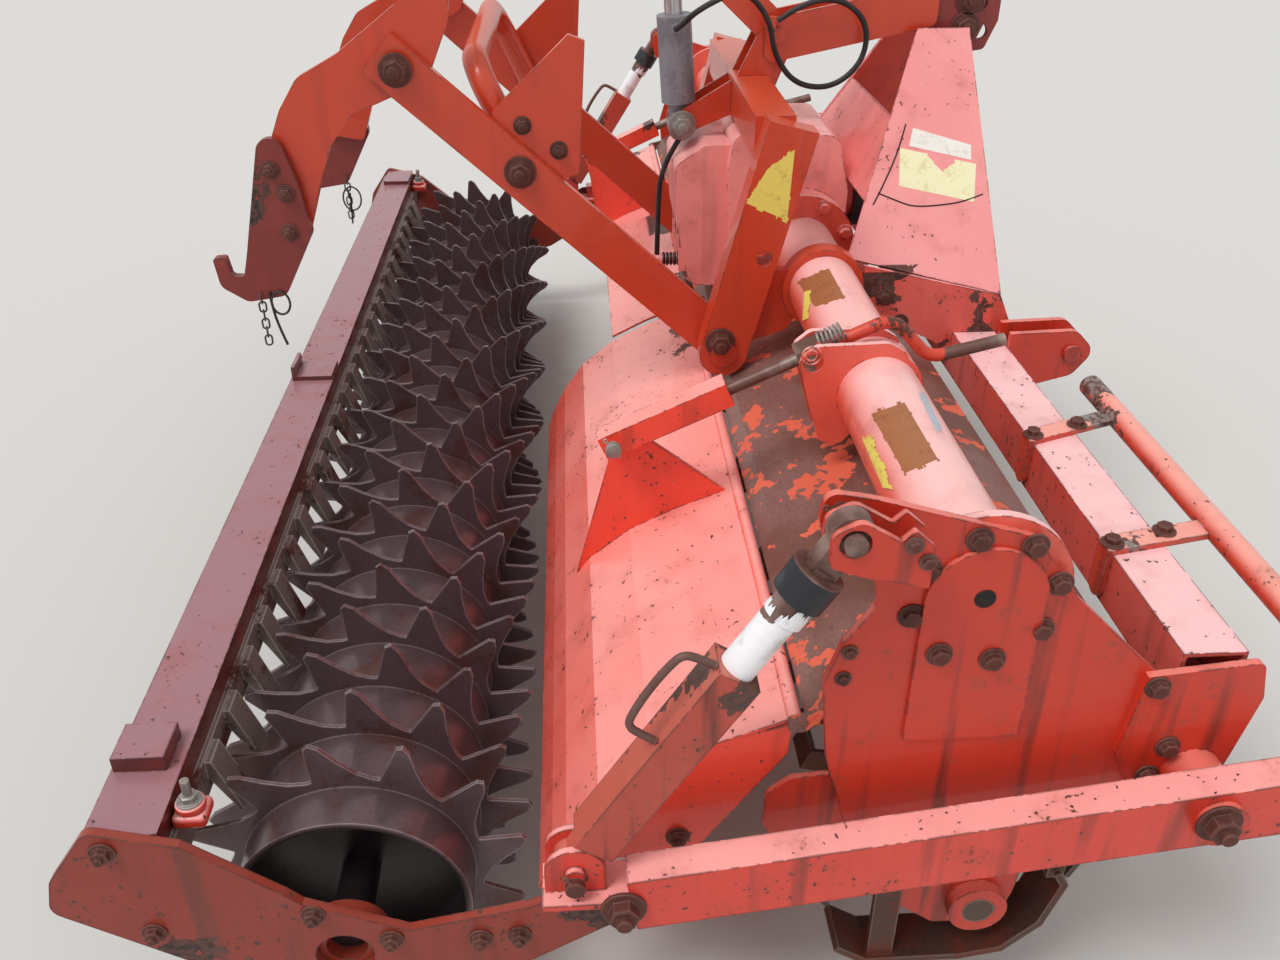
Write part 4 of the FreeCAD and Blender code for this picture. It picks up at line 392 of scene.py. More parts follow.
# %% Every solid of the frame gets its finish
dress = [
    (plate_paint, "side_plate front_bracket side_drive_case rotor_bearing lower_hitch"),
    (arm_paint, "roller_arm"),
    (tube_paint, "cross_tube strut_clamp"),
    (headstock_paint, "headstock_leg"),
    (flap_paint, "rear_flap strut_tube"),
    (casting_paint, "gearbox"),
    (beam_paint, "front_beam"),
    (rail_paint, "guard_rail"),
    (skid_steel, "skid"),
    (lift_paint, "lift_post lift_cross lift_arm lift_cross_tube gooseneck lift_head lift_upper_arm"),
    (end_plate_paint, "roller_end"),
    (top_plate_paint, "headstock_top"),
    (hook_paint, "lift_hook"),
    (roller_beam_paint, "roller_beam"),
    (depth_tube_paint, "spindle_tube"),
    (deck_finish, "hood_deck"),
    (roller_steel, "packer_roller"),
    (blade_steel, "rotor"),
    (scraper_steel, "roller_scrapers"),
    (barrel_silver, "lift_cylinder"),
    (rod_chrome, "lift_rod"),
    (crank_skin, "strut_screw"),
    (zinc_steel, "input_shaft"),
    (guard_plastic, "shaft_guard"),
    (spindle_skin, "spindle_rod"),
    (hose_rubber, "hose_loop hose_low"),
]
dressed = 0
for finish, stems in dress:
    for stem in stems.split():
        for node in (stem, stem + "_right", stem + "_left"):
            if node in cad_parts:
                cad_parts[node].data.materials.clear()
                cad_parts[node].data.materials.append(finish)
                dressed += 1
print("finishes", len(dress), "on", dressed, "of", len(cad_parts), "nodes")

# %% [markdown]
# ## Helpers for new pieces
# New pieces are made as by hand: a primitive, edit mode, a modifier. The operators act on what is selected,
# and the frame's nodes are selected after loading, so each helper clears the selection first. A finished
# piece keeps its place in its mesh, as the frame's nodes do.

# %% Adding and picking
def alone(piece):
    """Makes a piece the only selected one, and the active one."""
    bpy.ops.object.select_all(action="DESELECT")
    piece.select_set(True)
    bpy.context.view_layer.objects.active = piece


def add(kind, **sizes):
    """A new primitive, alone in the selection."""
    bpy.ops.object.select_all(action="DESELECT")
    getattr(bpy.ops.mesh, "primitive_" + kind + "_add")(**sizes)
    return bpy.context.object


def pick(piece, test):
    """In edit mode, selects only the faces whose middle and direction pass the test."""
    bpy.context.view_layer.objects.active = piece
    bpy.ops.object.mode_set(mode="EDIT")
    bpy.ops.mesh.select_mode(type="FACE")
    bpy.ops.mesh.select_all(action="DESELECT")
    bpy.ops.object.mode_set(mode="OBJECT")
    for face in piece.data.polygons:
        face.select = bool(test(face.center, face.normal))
    bpy.ops.object.mode_set(mode="EDIT")


def done():
    bpy.ops.object.mode_set(mode="OBJECT")


# %% Modifiers, joining and mirroring
def worked(piece, kind, **settings):
    """Adds a modifier with its settings and applies it."""
    modifier = piece.modifiers.new("step", kind)
    for key, value in settings.items():
        setattr(modifier, key, value)
    bpy.context.view_layer.objects.active = piece
    bpy.ops.object.modifier_apply(modifier="step")
    return piece


def rounded(piece, width, segments=2):
    return worked(piece, "BEVEL", width=width, segments=segments, limit_method="ANGLE")


def named(piece, name):
    piece.name = piece.data.name = name
    return piece


def join(pieces, name):
    """Makes one piece of several. A set of one has nothing to join."""
    alone(pieces[0])
    for piece in pieces:
        piece.select_set(True)
    if len(pieces) > 1:
        bpy.ops.object.join()
    bpy.ops.object.transform_apply(location=True, rotation=True, scale=True)
    return named(bpy.context.object, name)


def mirrored_mesh(piece, side):
    """Turns a right-hand mesh into the left-hand one, with its faces still outwards."""
    if side == "left":
        piece.data.transform(Matrix.Scale(-1, 4, (1, 0, 0)))
        piece.data.flip_normals()
    return piece


def mirrored(points, side):
    return [Vector((p[0] if side == "right" else -p[0], p[1], p[2])) for p in points]


# %% The last step of a piece
def settle(piece, body, finish):
    """Smooth faces, the finish and the body that the piece rides on."""
    alone(piece)
    bpy.ops.object.transform_apply(location=True, rotation=True, scale=True)
    bpy.ops.object.shade_smooth_by_angle(angle=math.radians(35))
    if finish:
        piece.data.materials.clear()
        piece.data.materials.append(finish)
    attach(piece, body)
    return piece


# %% [markdown]
# ## Finding a node's surface
# A bolt head has to sit on its plate, not near it. Typing the plate's place again would break as soon as the
# plate changes, so a straight line is cast at the node, and gives the point that it meets and the way out.

# %% Where a line meets a node
trees = {}


def surface(node, start, aim):
    """Where a line from start along aim first meets a node, in metres, and the way out of it there."""
    if node not in trees:
        trees[node] = BVHTree.FromObject(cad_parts[node], bpy.context.evaluated_depsgraph_get())
    spot, out = trees[node].ray_cast(Vector(start), Vector(aim).normalized())[:2]
    if spot is None:
        raise ValueError(f"no surface of {node} from {start}")
    return spot, (out if out.dot(Vector(aim)) < 0 else -out)


def outer(node, spots, start=2000):
    """Spots (y, z) in mm on the outer face of a right-hand node, looked for from start mm out."""
    return [surface(node, (start / 1000, y / 1000, z / 1000), (-1, 0, 0)) for y, z in spots]


def far(spots):
    """The same spots at the machine's other end."""
    return [(Vector((-spot.x, spot.y, spot.z)), Vector((-out.x, out.y, out.z))) for spot, out in spots]


print("the right side plate's face is at x =", round(outer("side_plate_right", [(345, 700)])[0][0].x, 4))

# %% [markdown]
# ## Bolts and nuts
# The machine is held by hexagon bolts on flat washers. A six-sided cylinder makes the head: its top face is
# inset and raised, which gives the chamfer that catches the light. A bevel would round all edges the same and
# cost more faces. A nut also shows the end of its stud. Each pattern is modelled once, at the origin.

# %% Patterns of fasteners
def upper(middle, out):
    """Picks the faces that look up."""
    return out.z > 0.9


def chamfer(piece, inset, rise):
    """Insets the top face and lifts it by rise."""
    pick(piece, upper)
    bpy.ops.mesh.inset(thickness=inset)
    bpy.ops.transform.translate(value=(0, 0, rise))
    done()
    return piece


def bolt_pattern(name, radius, stud=0.0):
    """radius is over the corners. stud is how far the stud's end stands out."""
    thick = radius * 0.25
    flat = add("cylinder", vertices=28, radius=radius * 1.45, depth=thick, location=(0, 0, thick / 2))
    head_high = radius * 0.75
    head = add("cylinder", vertices=6, radius=radius, depth=head_high, location=(0, 0, thick + head_high / 2))
    parts = [rounded(flat, thick * 0.25), chamfer(head, radius * 0.14, radius * 0.1)]
    if stud:
        top = thick + radius * 0.85
        end = add("cylinder", vertices=16, radius=radius * 0.52, depth=stud, location=(0, 0, top + stud / 2))
        parts.append(rounded(end, radius * 0.1))
    return join(parts, name)


small, usual, large = 0.008, 0.0125, 0.022
bolt = bolt_pattern("bolt", usual)
nut = bolt_pattern("nut", usual, stud=0.006)
large_nut = bolt_pattern("large_nut", large, stud=0.01)
small_bolt = bolt_pattern("small_bolt", small)
stud_nut = bolt_pattern("stud_nut", usual, stud=0.026)
print("a bolt has", len(bolt.data.polygons), "faces")

# %% [markdown]
# ## Pins, and the sight hole
# A clevis pin has a low round head and a split pin through it, whose eye shows at the side. The sight hole of
# the round panel is a rim with a shallow well, painted dark as the hole's shade. A real hole would have to be
# cut into the frame's plate.

# %% Patterns of the pin head and the sight hole
def pin_pattern(name, radius, high):
    head = add("cylinder", vertices=32, radius=radius, depth=high, location=(0, 0, high / 2))
    chamfer(head, radius * 0.18, radius * 0.12)
    leg = add("cylinder", vertices=10, radius=radius * 0.12, depth=radius * 2.9, location=(0, 0, high * 0.55),
              rotation=(0, math.pi / 2, 0))
    eye = add("torus", major_radius=radius * 0.24, minor_radius=radius * 0.1, major_segments=16,
              minor_segments=8, location=(radius * 1.6, 0, high * 0.55))
    return join([head, leg, eye], name)


def port_pattern(name):
    rim = add("torus", major_radius=0.0125, minor_radius=0.0016, major_segments=36, minor_segments=8)
    # The well is a dark disc of painted shade, in place of the hole's depth.
    well = add("cylinder", vertices=36, radius=0.012, depth=0.0008, location=(0, 0, 0.0004))
    return join([rim, chamfer(well, 0.0015, -0.0003)], name)


pin_head = pin_pattern("pin_head", radius=0.014, high=0.011)
port = port_pattern("port")
print("pin head", len(pin_head.data.polygons), "faces, sight hole", len(port.data.polygons))

# %% [markdown]
# ## Copies of a pattern
# Bolts that hold the same part are one piece, because nobody takes them apart here. Each copy has its own
# mesh and its own turn, as no fitter lines up all the hexagons. The turns come from dice that are seeded with
# the piece's name, so that they are the same in every run.

# %% Copies of a pattern, each on its spot
def twin_of(pattern, name, place):
    """A copy of a pattern with its own mesh, moved by a matrix."""
    twin = bpy.data.objects.new(name, pattern.data.copy())
    bpy.context.collection.objects.link(twin)
    twin.data.transform(place)
    return twin


def fasten(name, pattern, spots, body, finish=bolt_steel):
    """spots are pairs of a point and the way out."""
    dice, copies = random.Random(name), []
    for spot, out in spots:
        turn = out.to_track_quat("Z", "Y").to_matrix().to_4x4()
        turn = Matrix.Translation(spot) @ turn @ Matrix.Rotation(dice.uniform(0, 6), 4, "Z")
        copies.append(twin_of(pattern, name, turn))
    return settle(join(copies, name), body, finish)


# %% [markdown]
# ## Where the bolts are
# The near end's places are read off the photograph, in millimetres along Y and Z, and the far end has the
# same ones. The side plate's bolts and the tube's flange bolts stand on circles round the main tube's axis,
# so a formula gives those.

# %% Bolts of both ends
tube_y, tube_z = 0.345, 0.832
panel_bolt_circle, flange_bolt_circle = 95, 100


def circle(radius, first, count=8):
    """Spots (y, z) in mm on a circle round the main tube's axis, from the angle first on."""
    angles = [math.radians(first + 360 / count * i) for i in range(count)]
    return [(1000 * tube_y + radius * math.cos(a), 1000 * tube_z + radius * math.sin(a)) for a in angles]


bolted = [
    ("panel_bolts", bolt, "side_plate_right", circle(panel_bolt_circle, 13), "frame"),
    ("plate_rivets", small_bolt, "side_plate_right", [(179, 754), (174, 710)], "frame"),
    ("cheek_bolts", small_bolt, "side_plate_right", [(236, 948), (217, 972)], "frame"),
    ("bracket_bolts", bolt, "front_bracket_right", [(599, 683), (639, 573), (622, 520)], "frame"),
    ("end_nuts", nut, "roller_end_right",
     [(-814, 501), (-781, 336), (-558, 357), (-455, 296), (-328, 288), (-272, 291)], "roller_frame"),
    ("arm_nut", large_nut, "roller_arm_right", [(-122, 402)], "roller_frame"),
    ("arm_pivot_nut", large_nut, "front_bracket_right", [(673, 531)], "frame"),
    ("hook_nuts", nut, "lift_hook_right", [(-745, 1083), (-722, 1036), (-727, 958)], "hitch_frame"),
    ("lift_arm_nuts", large_nut, "lift_arm_right", [(-483, 1267), (-264, 1070)], "lift_arms"),
    ("fin_nuts", nut, "lift_arm_right", [(-256, 1155), (-187, 1106)], "lift_arms"),
    ("post_nut", large_nut, "lift_post_right", [(134, 724)], "frame"),
    ("flap_nut", nut, "rear_flap_right", [(-37, 395)], "flap_right"),
    ("leg_bolts", bolt, "headstock_leg_right", [(480, 802), (520, 745)], "frame"),
]
for name, pattern, node, spots, body in bolted:
    near = outer(node, spots)
    fasten(name + "_right", pattern, near, body)
    if name != "flap_nut":
        fasten(name + "_left", pattern, far(near), body)
print("sets of bolts at each end", len(bolted), "- the torn left flap has no nut")

# %% The sight hole of the round panel, and the bolts of the tube's flanges
sight_hole = outer("side_plate_right", [(342, 838)])
flange = outer("cross_tube_right", circle(flange_bolt_circle, 20), start=300)
# The sight hole's well takes the near black of painted shade.
trim = [("panel_port", port, sight_hole, painted_shade_dark), ("flange_bolts", bolt, flange, tube_paint)]
for name, pattern, near, finish in trim:
    fasten(name + "_right", pattern, near, "frame", finish)
    fasten(name + "_left", pattern, far(near), "frame", finish)
print("flange bolts", len(flange), "at x =", round(flange[0][0].x, 3))

# %% Bolts seen from above, on the rails' bars and the front beam
rail_bolt_spots = [(867, 734), (899, 642), (1212, 736), (1240, 642)]
above = [surface("guard_rail_right", (x / 1000, y / 1000, 1.2), (0, 0, -1)) for x, y in rail_bolt_spots]
fasten("rail_bolts_right", bolt, above, "frame")
fasten("rail_bolts_left", bolt, far(above), "frame")
print("rail bolts", 2 * len(above))

# %% Pins of the clevises, the struts and the top plates
pinned = [
    ("spindle_top_pin", "side_plate_right", (148, 972), "frame", bolt_steel),
    ("spindle_low_pin", "roller_arm_right", (-187, 434), "roller_frame", bolt_steel),
    ("strut_pin", "strut_tube_right", (-106, 742), "flap_right", zinc_steel),
]
for name, node, spot, body, finish in pinned:
    near = outer(node, [spot])
    fasten(name + "_right", pin_head, near, body, finish)
    fasten(name + "_left", pin_head, far(near), body.replace("right", "left"), finish)
top_pins = outer("headstock_top", [(705, 1322), (700, 1268)])
fasten("top_pins", large_nut, top_pins + far(top_pins), "frame")
print("clevis pins", 2 * len(pinned), "and top pins", 2 * len(top_pins))

# %% [markdown]
# ## Bent rods
# Handles, springs, wires and weld beads are all a round bar along a line. Extruding a circle step by step
# would twist it at tight bends. A NURBS curve with a round bevel doesn't, and a few points steer it. It is
# made a mesh at the end, so that it can be finished as the other pieces are.

# %% A round bar along points
def round_line(name, points, radius, ring, smooth):
    """A NURBS curve of round section. ring and smooth say how fine it is round and along."""
    curve = bpy.data.curves.new(name, "CURVE")
    curve.dimensions, curve.use_fill_caps = "3D", True
    curve.bevel_depth, curve.bevel_resolution = radius, ring
    run = curve.splines.new("NURBS")
    run.points.add(len(points) - 1)
    for point, place in zip(run.points, points):
        point.co = (*place, 1)
    run.order_u, run.use_endpoint_u, run.resolution_u = 3, True, smooth
    piece = bpy.data.objects.new(name, curve)
    bpy.context.collection.objects.link(piece)
    return piece


def bar(name, points, radius, ring=4):
    alone(round_line(name, points, radius, ring, smooth=6))
    bpy.ops.object.convert(target="MESH")
    return bpy.context.object


# %% [markdown]
# ## Handles of the depth spindles
# Each square tube has a bent round handle, by which the spindle is turned. It leaves the tube square, bends
# and runs along it. The points are set off from the tube's back along two directions, so the handle leans
# with the spindle.

# %% The handles on the depth spindles
back = Vector((0, -0.846, 0.533))
for side in ("right", "left"):
    low, high = Vector((1.566, -0.078, 0.677)), Vector((1.562, -0.004, 0.793))
    grip = [low, low + back * 0.02, low + back * 0.045 + line * 0.004, low + back * 0.05 + line * 0.03,
            (low + high) / 2 + back * 0.052, high + back * 0.05 - line * 0.03,
            high + back * 0.045 - line * 0.004, high + back * 0.02, high]
    handle = bar("spindle_handle_" + side, mirrored(grip, side), 0.0055)
    settle(handle, "spindle_tube_" + side, rod_steel)
print("handle points", len(grip))

# %% [markdown]
# ## Springs behind the cranks
# A spring on each strut's screw keeps the crank from turning by itself. Its line is a helix round the screw,
# worked out from a turn count and a pitch. A Screw modifier would make the same coil, but along a world axis,
# while this screw leans. Two flat rings end the trunnion that the spring pushes on.

# %% The springs and the trunnions' rings
screw_line = Vector((0, 0.9, 0.4354)).normalized()
trunnion, trunnion_face = Vector((0.89, 0.225, 0.9075)), 0.9285
coil_radius, coil_start, coil_long, coil_turns, steps_per_turn = 0.0145, 0.02, 0.045, 6, 12


def spring_points():
    across, upward = Vector((1, 0, 0)), Vector((0, -screw_line.z, screw_line.y))
    steps = coil_turns * steps_per_turn
    points = []
    for i in range(steps + 1):
        angle = 2 * math.pi * i / steps_per_turn
        round_screw = across * coil_radius * math.cos(angle) + upward * coil_radius * math.sin(angle)
        points.append(trunnion + screw_line * (coil_start + coil_long * i / steps) + round_screw)
    return points


for side in ("right", "left"):
    spring = bar("strut_spring_" + side, mirrored(spring_points(), side), 0.0024, ring=2)
    settle(spring, "strut_screw_" + side, zinc_steel)
    rings = [add("torus", major_radius=radius, minor_radius=0.0022, major_segments=32, minor_segments=8,
                 location=(trunnion_face, trunnion.y, trunnion.z), rotation=(0, math.pi / 2, 0))
             for radius in (0.0095, 0.0155)]
    whole = mirrored_mesh(join(rings, "trunnion_rings_" + side), side)
    settle(whole, "strut_screw_" + side, tube_paint)
print("spring points", len(spring_points()))

# %% [markdown]
# ## The torn sleeve
# The white sleeve under the black cap is thin plastic that has split. Transparency could hide the missing
# part, but a torn edge has a thickness that shows. So an open tube gets many small faces, those beyond a
# ragged line are deleted, and Solidify gives what is left its wall.

# %% A split tube over each spindle
collar_radius, collar_high = 0.0262, 0.03


def ragged(t, seed):
    """A broken line from -1 to 1 that looks torn."""
    return math.sin(4 * t + seed) * 0.5 + math.sin(11 * t + 2 * seed) * 0.3 + math.sin(27 * t) * 0.2


def torn_away(middle, out):
    angle = math.atan2(middle.y, middle.x)
    return middle.z > 0.017 * ragged(angle, 1.3) - 0.012 * math.cos(angle + 0.4)


for side in ("right", "left"):
    shell = add("cylinder", vertices=96, radius=collar_radius, depth=collar_high, end_fill_type="NOTHING")
    pick(shell, lambda middle, out: True)
    bpy.ops.mesh.subdivide(number_cuts=11)
    done()
    pick(shell, torn_away)
    bpy.ops.mesh.delete(type="FACE")
    done()
    worked(shell, "SOLIDIFY", thickness=0.0011, offset=1)
    lean = Matrix((Vector((0, -line.z, line.y)), Vector((1, 0, 0)), line)).transposed().to_4x4()
    shell.data.transform(lean)
    shell.data.transform(Matrix.Translation(low_eye + line * (cap_low - collar_high / 2)))
    named(mirrored_mesh(shell, side), "torn_sleeve_" + side)
    settle(shell, "spindle_rod_" + side, sleeve_plastic)
print("sleeve faces", len(shell.data.polygons))

# %% [markdown]
# ## Blank sheets and their traces
# The real machine has stickers. Here each place has a plain sheet with no print. A grid is laid over a
# four-cornered patch of the photograph and each of its points is dropped on the surface behind it, so that
# the sheet follows a round tube as paper does. A Shrinkwrap modifier would do nearly that, but pulls the
# points to the nearest surface, which needn't be the one that the photograph shows.

# %% The camera's place, and the surface behind a pixel
eye_spot, ahead = Vector((2.6275, -0.1574, 1.7101)), Vector((-0.8535, 0.0488, -0.5188)).normalized()
lens, sensor = 32, 36
photo_wide, photo_high = 1280, 960
view = ahead.to_track_quat("-Z", "Y").to_matrix() @ Matrix.Rotation(math.radians(-0.1), 3, "Z")


def seen(node, px, py):
    """The point of a node behind a pixel of the photograph, and its way out."""
    scale = sensor / lens / photo_wide
    aim = view @ Vector(((px - photo_wide / 2) * scale, (photo_high / 2 - py) * scale, -1))
    return surface(node, eye_spot, aim)


print("the camera looks along", [round(v, 3) for v in ahead])

# %% Where the sheets are, as pixels of the photograph from the top left corner round
corners = {
    "blank_white_sheet": [(913, 128), (971, 145), (971, 160), (909, 146)],
    "blank_yellow_sheet": [(900, 148), (976, 164), (974, 202), (899, 186)],
    "blank_post_sheet": [(768, 168), (796, 146), (788, 224), (744, 204)],
    "tube_trace": [(869, 412), (904, 400), (940, 461), (905, 476)],
    "tube_trace_inner": [(796, 281), (829, 267), (846, 298), (815, 308)],
    "torn_yellow_strip": [(861, 434), (873, 430), (897, 490), (884, 488)],
    "torn_yellow_strip_inner": [(805, 292), (813, 290), (810, 318), (803, 321)],
    "silver_strip": [(917, 392), (924, 391), (944, 432), (937, 434)],
}
print("sheets and traces", len(corners))

# %% How a sheet is laid and torn
def sticker(name, node, finish, torn=None, lift=0.0006):
    """torn(u, v) is true where the sheet is gone, with u along it and v down it. lift is its height."""
    sheet = add("grid", x_subdivisions=36, y_subdivisions=26, size=2)
    if torn:
        pick(sheet, lambda middle, out: torn((middle.x + 1) / 2, (1 - middle.y) / 2))
        bpy.ops.mesh.delete(type="FACE")
        done()
    a, b, c, d = [Vector(corner) for corner in corners[name]]
    for vertex in sheet.data.vertices:
        u, v = (vertex.co.x + 1) / 2, (1 - vertex.co.y) / 2
        spot, out = seen(node, *a.lerp(b, u).lerp(d.lerp(c, u), v))
        vertex.co = spot + out * lift
    worked(sheet, "SOLIDIFY", thickness=0.0005, offset=-1)
    bpy.ops.object.mode_set(mode="EDIT")
    bpy.ops.mesh.select_all(action="SELECT")
    bpy.ops.mesh.normals_make_consistent(inside=False)
    done()
    return settle(named(sheet, name), "frame", finish)


def notch(u, v):
    return v < 0.42 - abs(u - 0.55) * 2.2 + 0.05 * ragged(u * 5, 0.4)


def torn_round(seed, amount):
    """A sheet whose rim has been eaten away unevenly."""
    return lambda u, v: min(u, 1 - u, v, 1 - v) < amount * (0.5 + 0.5 * ragged((u + 2 * v) * 3, seed))


def torn_strip(u, v):
    return u > 0.75 + 0.2 * ragged(v * 3, 0.5) or v < 0.1 + 0.08 * ragged(u * 9, 1)


def torn_side(u, v):
    return u > 0.8 + 0.2 * ragged(v * 3, 2.5)


# %% The sheets
on_top = 0.0016
sticker("blank_white_sheet", "headstock_leg_right", white_film)
sticker("blank_yellow_sheet", "headstock_leg_right", pale_film, notch)
sticker("blank_post_sheet", "lift_post_right", yellow_film, torn_round(2.0, 0.05))
sticker("tube_trace", "cross_tube_right", brown_film, torn_round(0.7, 0.05))
sticker("tube_trace_inner", "cross_tube_right", brown_film, torn_round(1.9, 0.05))
sticker("torn_yellow_strip", "cross_tube_right", yellow_film, torn_strip, on_top)
sticker("torn_yellow_strip_inner", "cross_tube_right", yellow_film, torn_side, on_top)
sticker("silver_strip", "cross_tube_right", silver_film, torn_round(0.2, 0.1))
print("strips lie", on_top * 1000, "mm high, over the traces")

# %% [markdown]
# ## Chains and clips of the lift hooks
# A short chain with a wire clip hangs from each hook and holds the hook's lock. A chain is one link, copied:
# every second link is turned a quarter round. The link is a ring whose halves are pulled apart in edit mode,
# which keeps its wire round, where scaling the ring would flatten it.

# %% One link, and a chain of them
link_step = 0.0185


def link_mesh():
    link = add("torus", major_radius=0.0068, minor_radius=0.0019, major_segments=20, minor_segments=8,
               rotation=(math.pi / 2, 0, 0))
    bpy.ops.object.transform_apply(rotation=True)
    pick(link, lambda middle, out: middle.z > 0.0002)
    bpy.ops.transform.translate(value=(0, 0, 0.009))
    done()
    return link


def chain(name, top, count):
    """Links hanging from the point top."""
    link, copies = link_mesh(), []
    for i in range(count):
        quarter = Matrix.Rotation(math.pi / 2 * (i % 2) + 0.3, 4, "Z")
        drop = Vector(top) - Vector((0, 0, link_step * i + 0.012))
        copies.append(twin_of(link, name, Matrix.Translation(drop) @ quarter))
    bpy.data.objects.remove(link)
    return settle(join(copies, name), "hitch_frame", dark_steel)


chain("hook_chain_right", (0.4015, -0.806, 0.828), 6)
chain("hook_chain_left", (-0.3765, -0.756, 0.842), 6)
print("chains are", round(6 * link_step, 3), "m long")

# %% The wire clips and their rings
def loop(centre, radius):
    """Points of an upright ring that is higher than wide."""
    angles = [math.pi / 2 + i * math.pi / 6 for i in range(13)]
    return [Vector(centre) + Vector((0, radius * math.cos(a), radius * 1.35 * math.sin(a))) for a in angles]


right_clip = [(0.402, -0.788, 0.835), (0.403, -0.786, 0.80), (0.404, -0.78, 0.76), (0.405, -0.768, 0.718)]
left_clip = [(-0.376, -0.752, 0.80), (-0.375, -0.752, 0.76), (-0.374, -0.755, 0.718)]
wires = [
    ("hook_clip_right", right_clip, 0.0028),
    ("hook_ring_right", loop((0.4025, -0.768, 0.81), 0.019), 0.0024),
    ("hook_clip_left", left_clip, 0.0024),
    ("hook_ring_left", loop((-0.3755, -0.748, 0.785), 0.024), 0.0022),
]
for name, points, radius in wires:
    settle(bar(name, points, radius), "hitch_frame", dark_steel)
print("wires", len(wires))

# %% [markdown]
# ## The cylinder's foot and the hose coupling
# The cylinder turns on a pin with a large nut, and the lower hose ends in a ribbed black coupling. The ribs
# are a row of rings. Cutting grooves into a cylinder would look the same and cost more steps.

# %% Foot nut and ribbed coupling
fasten("cylinder_foot_nut", large_nut, outer("lift_cross", [(85, 1070)], start=300), "frame", zinc_steel)
rib_step = 0.0085
ribs = [add("torus", major_radius=0.0125, minor_radius=0.0035, major_segments=28, minor_segments=8,
            location=(0.05, 0.047 + rib_step * i, 0.757), rotation=(math.pi / 2, 0, 0)) for i in range(6)]
settle(join(ribs, "hose_coupling_ribs"), "frame", guard_plastic)
print("ribs", len(ribs))

# %% [markdown]
# ## The scraper rail's bosses
# At each end the scrapers' rail is held by a cast boss with an ear, a long stud and a nut. The boss is a cube
# with strongly rounded edges, as a casting has, and the ear is a low cylinder on it.

# %% Bosses with a stud and nut
boss_x, boss_y, boss_top = 1.4705, -0.72, 0.5075
for side in ("right", "left"):
    boss = add("cube", size=1, location=(boss_x, boss_y, 0.4855))
    boss.scale = (0.048, 0.048, 0.022)
    bpy.ops.object.transform_apply(scale=True)
    rounded(boss, 0.008, 4)
    ear = add("cylinder", vertices=40, radius=0.021, depth=0.012, location=(boss_x, boss_y, boss_top - 0.006))
    rounded(ear, 0.003, 3)
    casting = mirrored_mesh(join([boss, ear], "rail_boss_" + side), side)
    settle(casting, "roller_frame", arm_paint)
    top = [(mirrored([(boss_x, boss_y, boss_top)], side)[0], Vector((0, 0, 1)))]
    fasten("rail_stud_" + side, stud_nut, top, "roller_frame", zinc_steel)
print("bosses at x =", boss_x, "on both sides")

# %% [markdown]
# ## Weld beads and seams
# A bead runs round the main tube where it meets each end plate, and the near headstock leg has two open
# seams, drawn as thin dark beads of painted shade, the shade inside the cracks. A bead is never even, so each
# of its points is pushed a little, by dice seeded with its name. The seams are traced over the photograph,
# and each point is dropped on the leg.

# %% Weld beads of the main tube
def bead(name, points, radius, finish):
    dice = random.Random(name)
    rough = [Vector(p) + Vector([dice.uniform(-1, 1) * radius * 0.25 for _ in range(3)]) for p in points]
    return settle(bar(name, rough, radius, ring=2), "frame", finish)


weld_x, weld_round = 1.4865, 0.0715
for side in ("right", "left"):
    angles = [i * math.pi / 24 for i in range(49)]
    weld = [(weld_x, tube_y + weld_round * math.cos(a), tube_z + weld_round * math.sin(a)) for a in angles]
    bead("tube_weld_" + side, mirrored(weld, side), 0.0035, tube_paint)
print("bead points", len(weld))

# %% The seams of the near headstock leg, drawn in painted shade, as pixels of the photograph
seams = {
    "leg_seam_side": [(906, 124), (899, 148), (890, 170), (878, 196), (873, 205)],
    "leg_seam_low": [(878, 193), (899, 202), (914, 207), (944, 205), (966, 201), (983, 194)],
}
for name, trail in seams.items():
    bead(name, [seen("headstock_leg_right", *pixel)[0] for pixel in trail], 0.0016, painted_shade_dark)
print("seams", len(seams))

# %% [markdown]
# ## Hoses
# The lift's cylinder has two rubber hoses. One hangs in a wide loop, one goes down to the coupling. Each
# follows the route of the frame's plain tube, as one smooth NURBS line of its real length.

# %% The two hydraulic hoses
hose_radius = 0.006


def hose(name, route):
    piece = round_line(name + "_rubber", route, hose_radius, ring=6, smooth=12)
    piece.data.materials.append(hose_rubber)
    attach(piece, "frame")
    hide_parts(name)
    return piece


LOOP_ROUTE = [(0.0502, 0.0695, 1.2705), (0.118, 0.073, 1.288), (0.17, 0.105, 1.33), (0.16, 0.195, 1.368),
              (0.13, 0.257, 1.305), (0.104, 0.275, 1.225), (0.088, 0.327, 1.16), (0.082, 0.411, 1.15),
              (0.082, 0.475, 1.205), (0.082, 0.477, 1.285), (0.08, 0.417, 1.334), (0.073, 0.337, 1.326),
              (0.0665, 0.2848, 1.288)]
LOW_ROUTE = [(0.05, 0.08, 1.0383), (0.05, 0.039, 0.975), (0.05, 0.033, 0.88), (0.05, 0.031, 0.7695)]
hose("hose_loop", LOOP_ROUTE)
hose("hose_low", LOW_ROUTE)
print("hose points", len(LOOP_ROUTE), "and", len(LOW_ROUTE))

# %% [markdown]
# ## Floor and light
# The floor is plain and pale. A broad sky and one soft sun light the machine at a level where a colour shows
# about as it is written. The camera, mirrors and glass see a pale backdrop in place of the sky, which could
# be a painted wall as well, but a wall throws light and shadow on the object. So the world looks at what kind
# of ray arrives, and shows each its own background.

# %% Floor
floor = named(add("plane", size=60), "floor")
floor.data.materials.append(Finish("floor_finish").wear("#d6d4d0", 0.9))
print("floor is", floor.dimensions.x, "m wide")

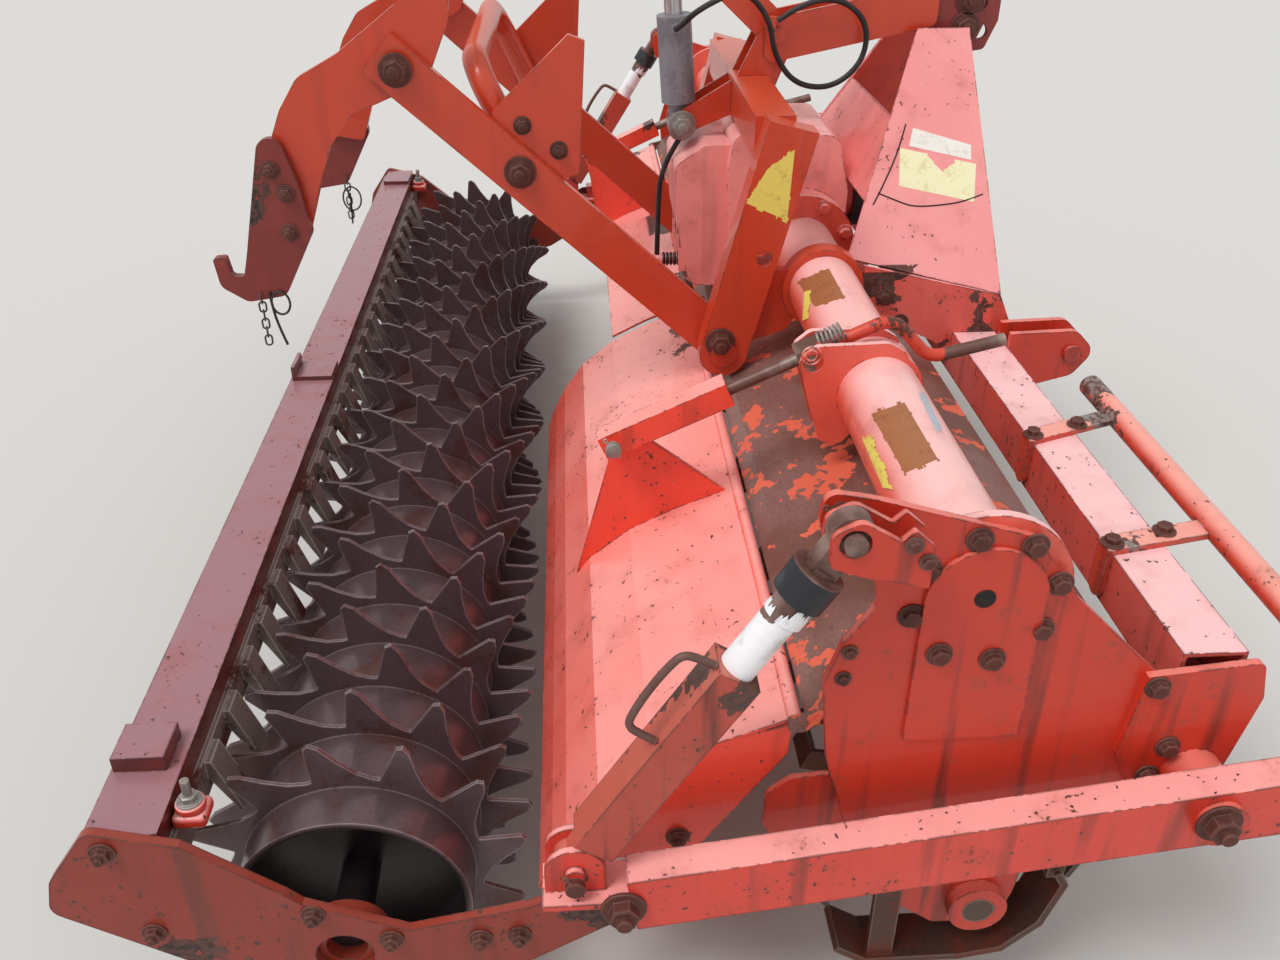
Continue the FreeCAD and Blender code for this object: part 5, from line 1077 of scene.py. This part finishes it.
# %% Sky
world = bpy.data.worlds.new("sky")
bpy.context.scene.world = world
world.use_nodes = True
sky = world.node_tree
lit = sky.nodes["Background"]
lit.inputs["Color"].default_value = colour("#ffffff")
lit.inputs["Strength"].default_value = 0.62
pale = sky.nodes.new("ShaderNodeBackground")
pale.inputs["Color"].default_value = colour("#e2e0dc")
behind = sky.nodes.new("ShaderNodeLightPath")
share = behind.outputs["Is Camera Ray"]
for ray in ("Is Glossy Ray", "Is Transmission Ray"):
    either = sky.nodes.new("ShaderNodeMath")
    either.operation = "MAXIMUM"
    sky.links.new(share, either.inputs[0])
    sky.links.new(behind.outputs[ray], either.inputs[1])
    share = either.outputs[0]
both = sky.nodes.new("ShaderNodeMixShader")
sky.links.new(share, both.inputs[0])
sky.links.new(lit.outputs[0], both.inputs[1])
sky.links.new(pale.outputs[0], both.inputs[2])
sky.links.new(both.outputs[0], sky.nodes["World Output"].inputs["Surface"])
print("sky strength", round(lit.inputs["Strength"].default_value, 2))

# %% Sun
sun = bpy.data.objects.new("sun", bpy.data.lights.new("sun", "SUN"))
bpy.context.collection.objects.link(sun)
sun.data.energy, sun.data.angle = 1.7, math.radians(25)
sun.rotation_euler = Vector((0.35, -0.55, 1.0)).to_track_quat("Z", "Y").to_euler()
print("sun strength", round(sun.data.energy, 2))

# %% [markdown]
# ## Camera
# The camera stands where the photographer stood. Its place, direction and lens were found by fitting the
# frame's straight edges and circles to those of the photograph, which a guess by eye would miss by
# centimetres.

# %% Camera
camera = bpy.data.objects.new("camera", bpy.data.cameras.new("camera"))
bpy.context.collection.objects.link(camera)
camera.location = eye_spot
camera.rotation_euler = view.to_euler()
camera.data.lens, camera.data.sensor_width = lens, sensor
bpy.context.scene.camera = camera
bpy.context.scene.view_settings.view_transform = "Standard"
print("camera at", [round(v, 2) for v in camera.location])

# %% [markdown]
# ## The end
# The patterns have been copied where they are needed and aren't part of the machine, so they go.

# %% The patterns go
patterns = (bolt, nut, large_nut, small_bolt, stud_nut, pin_head, port)
for pattern in patterns:
    bpy.data.objects.remove(pattern)
print("patterns removed", len(patterns))
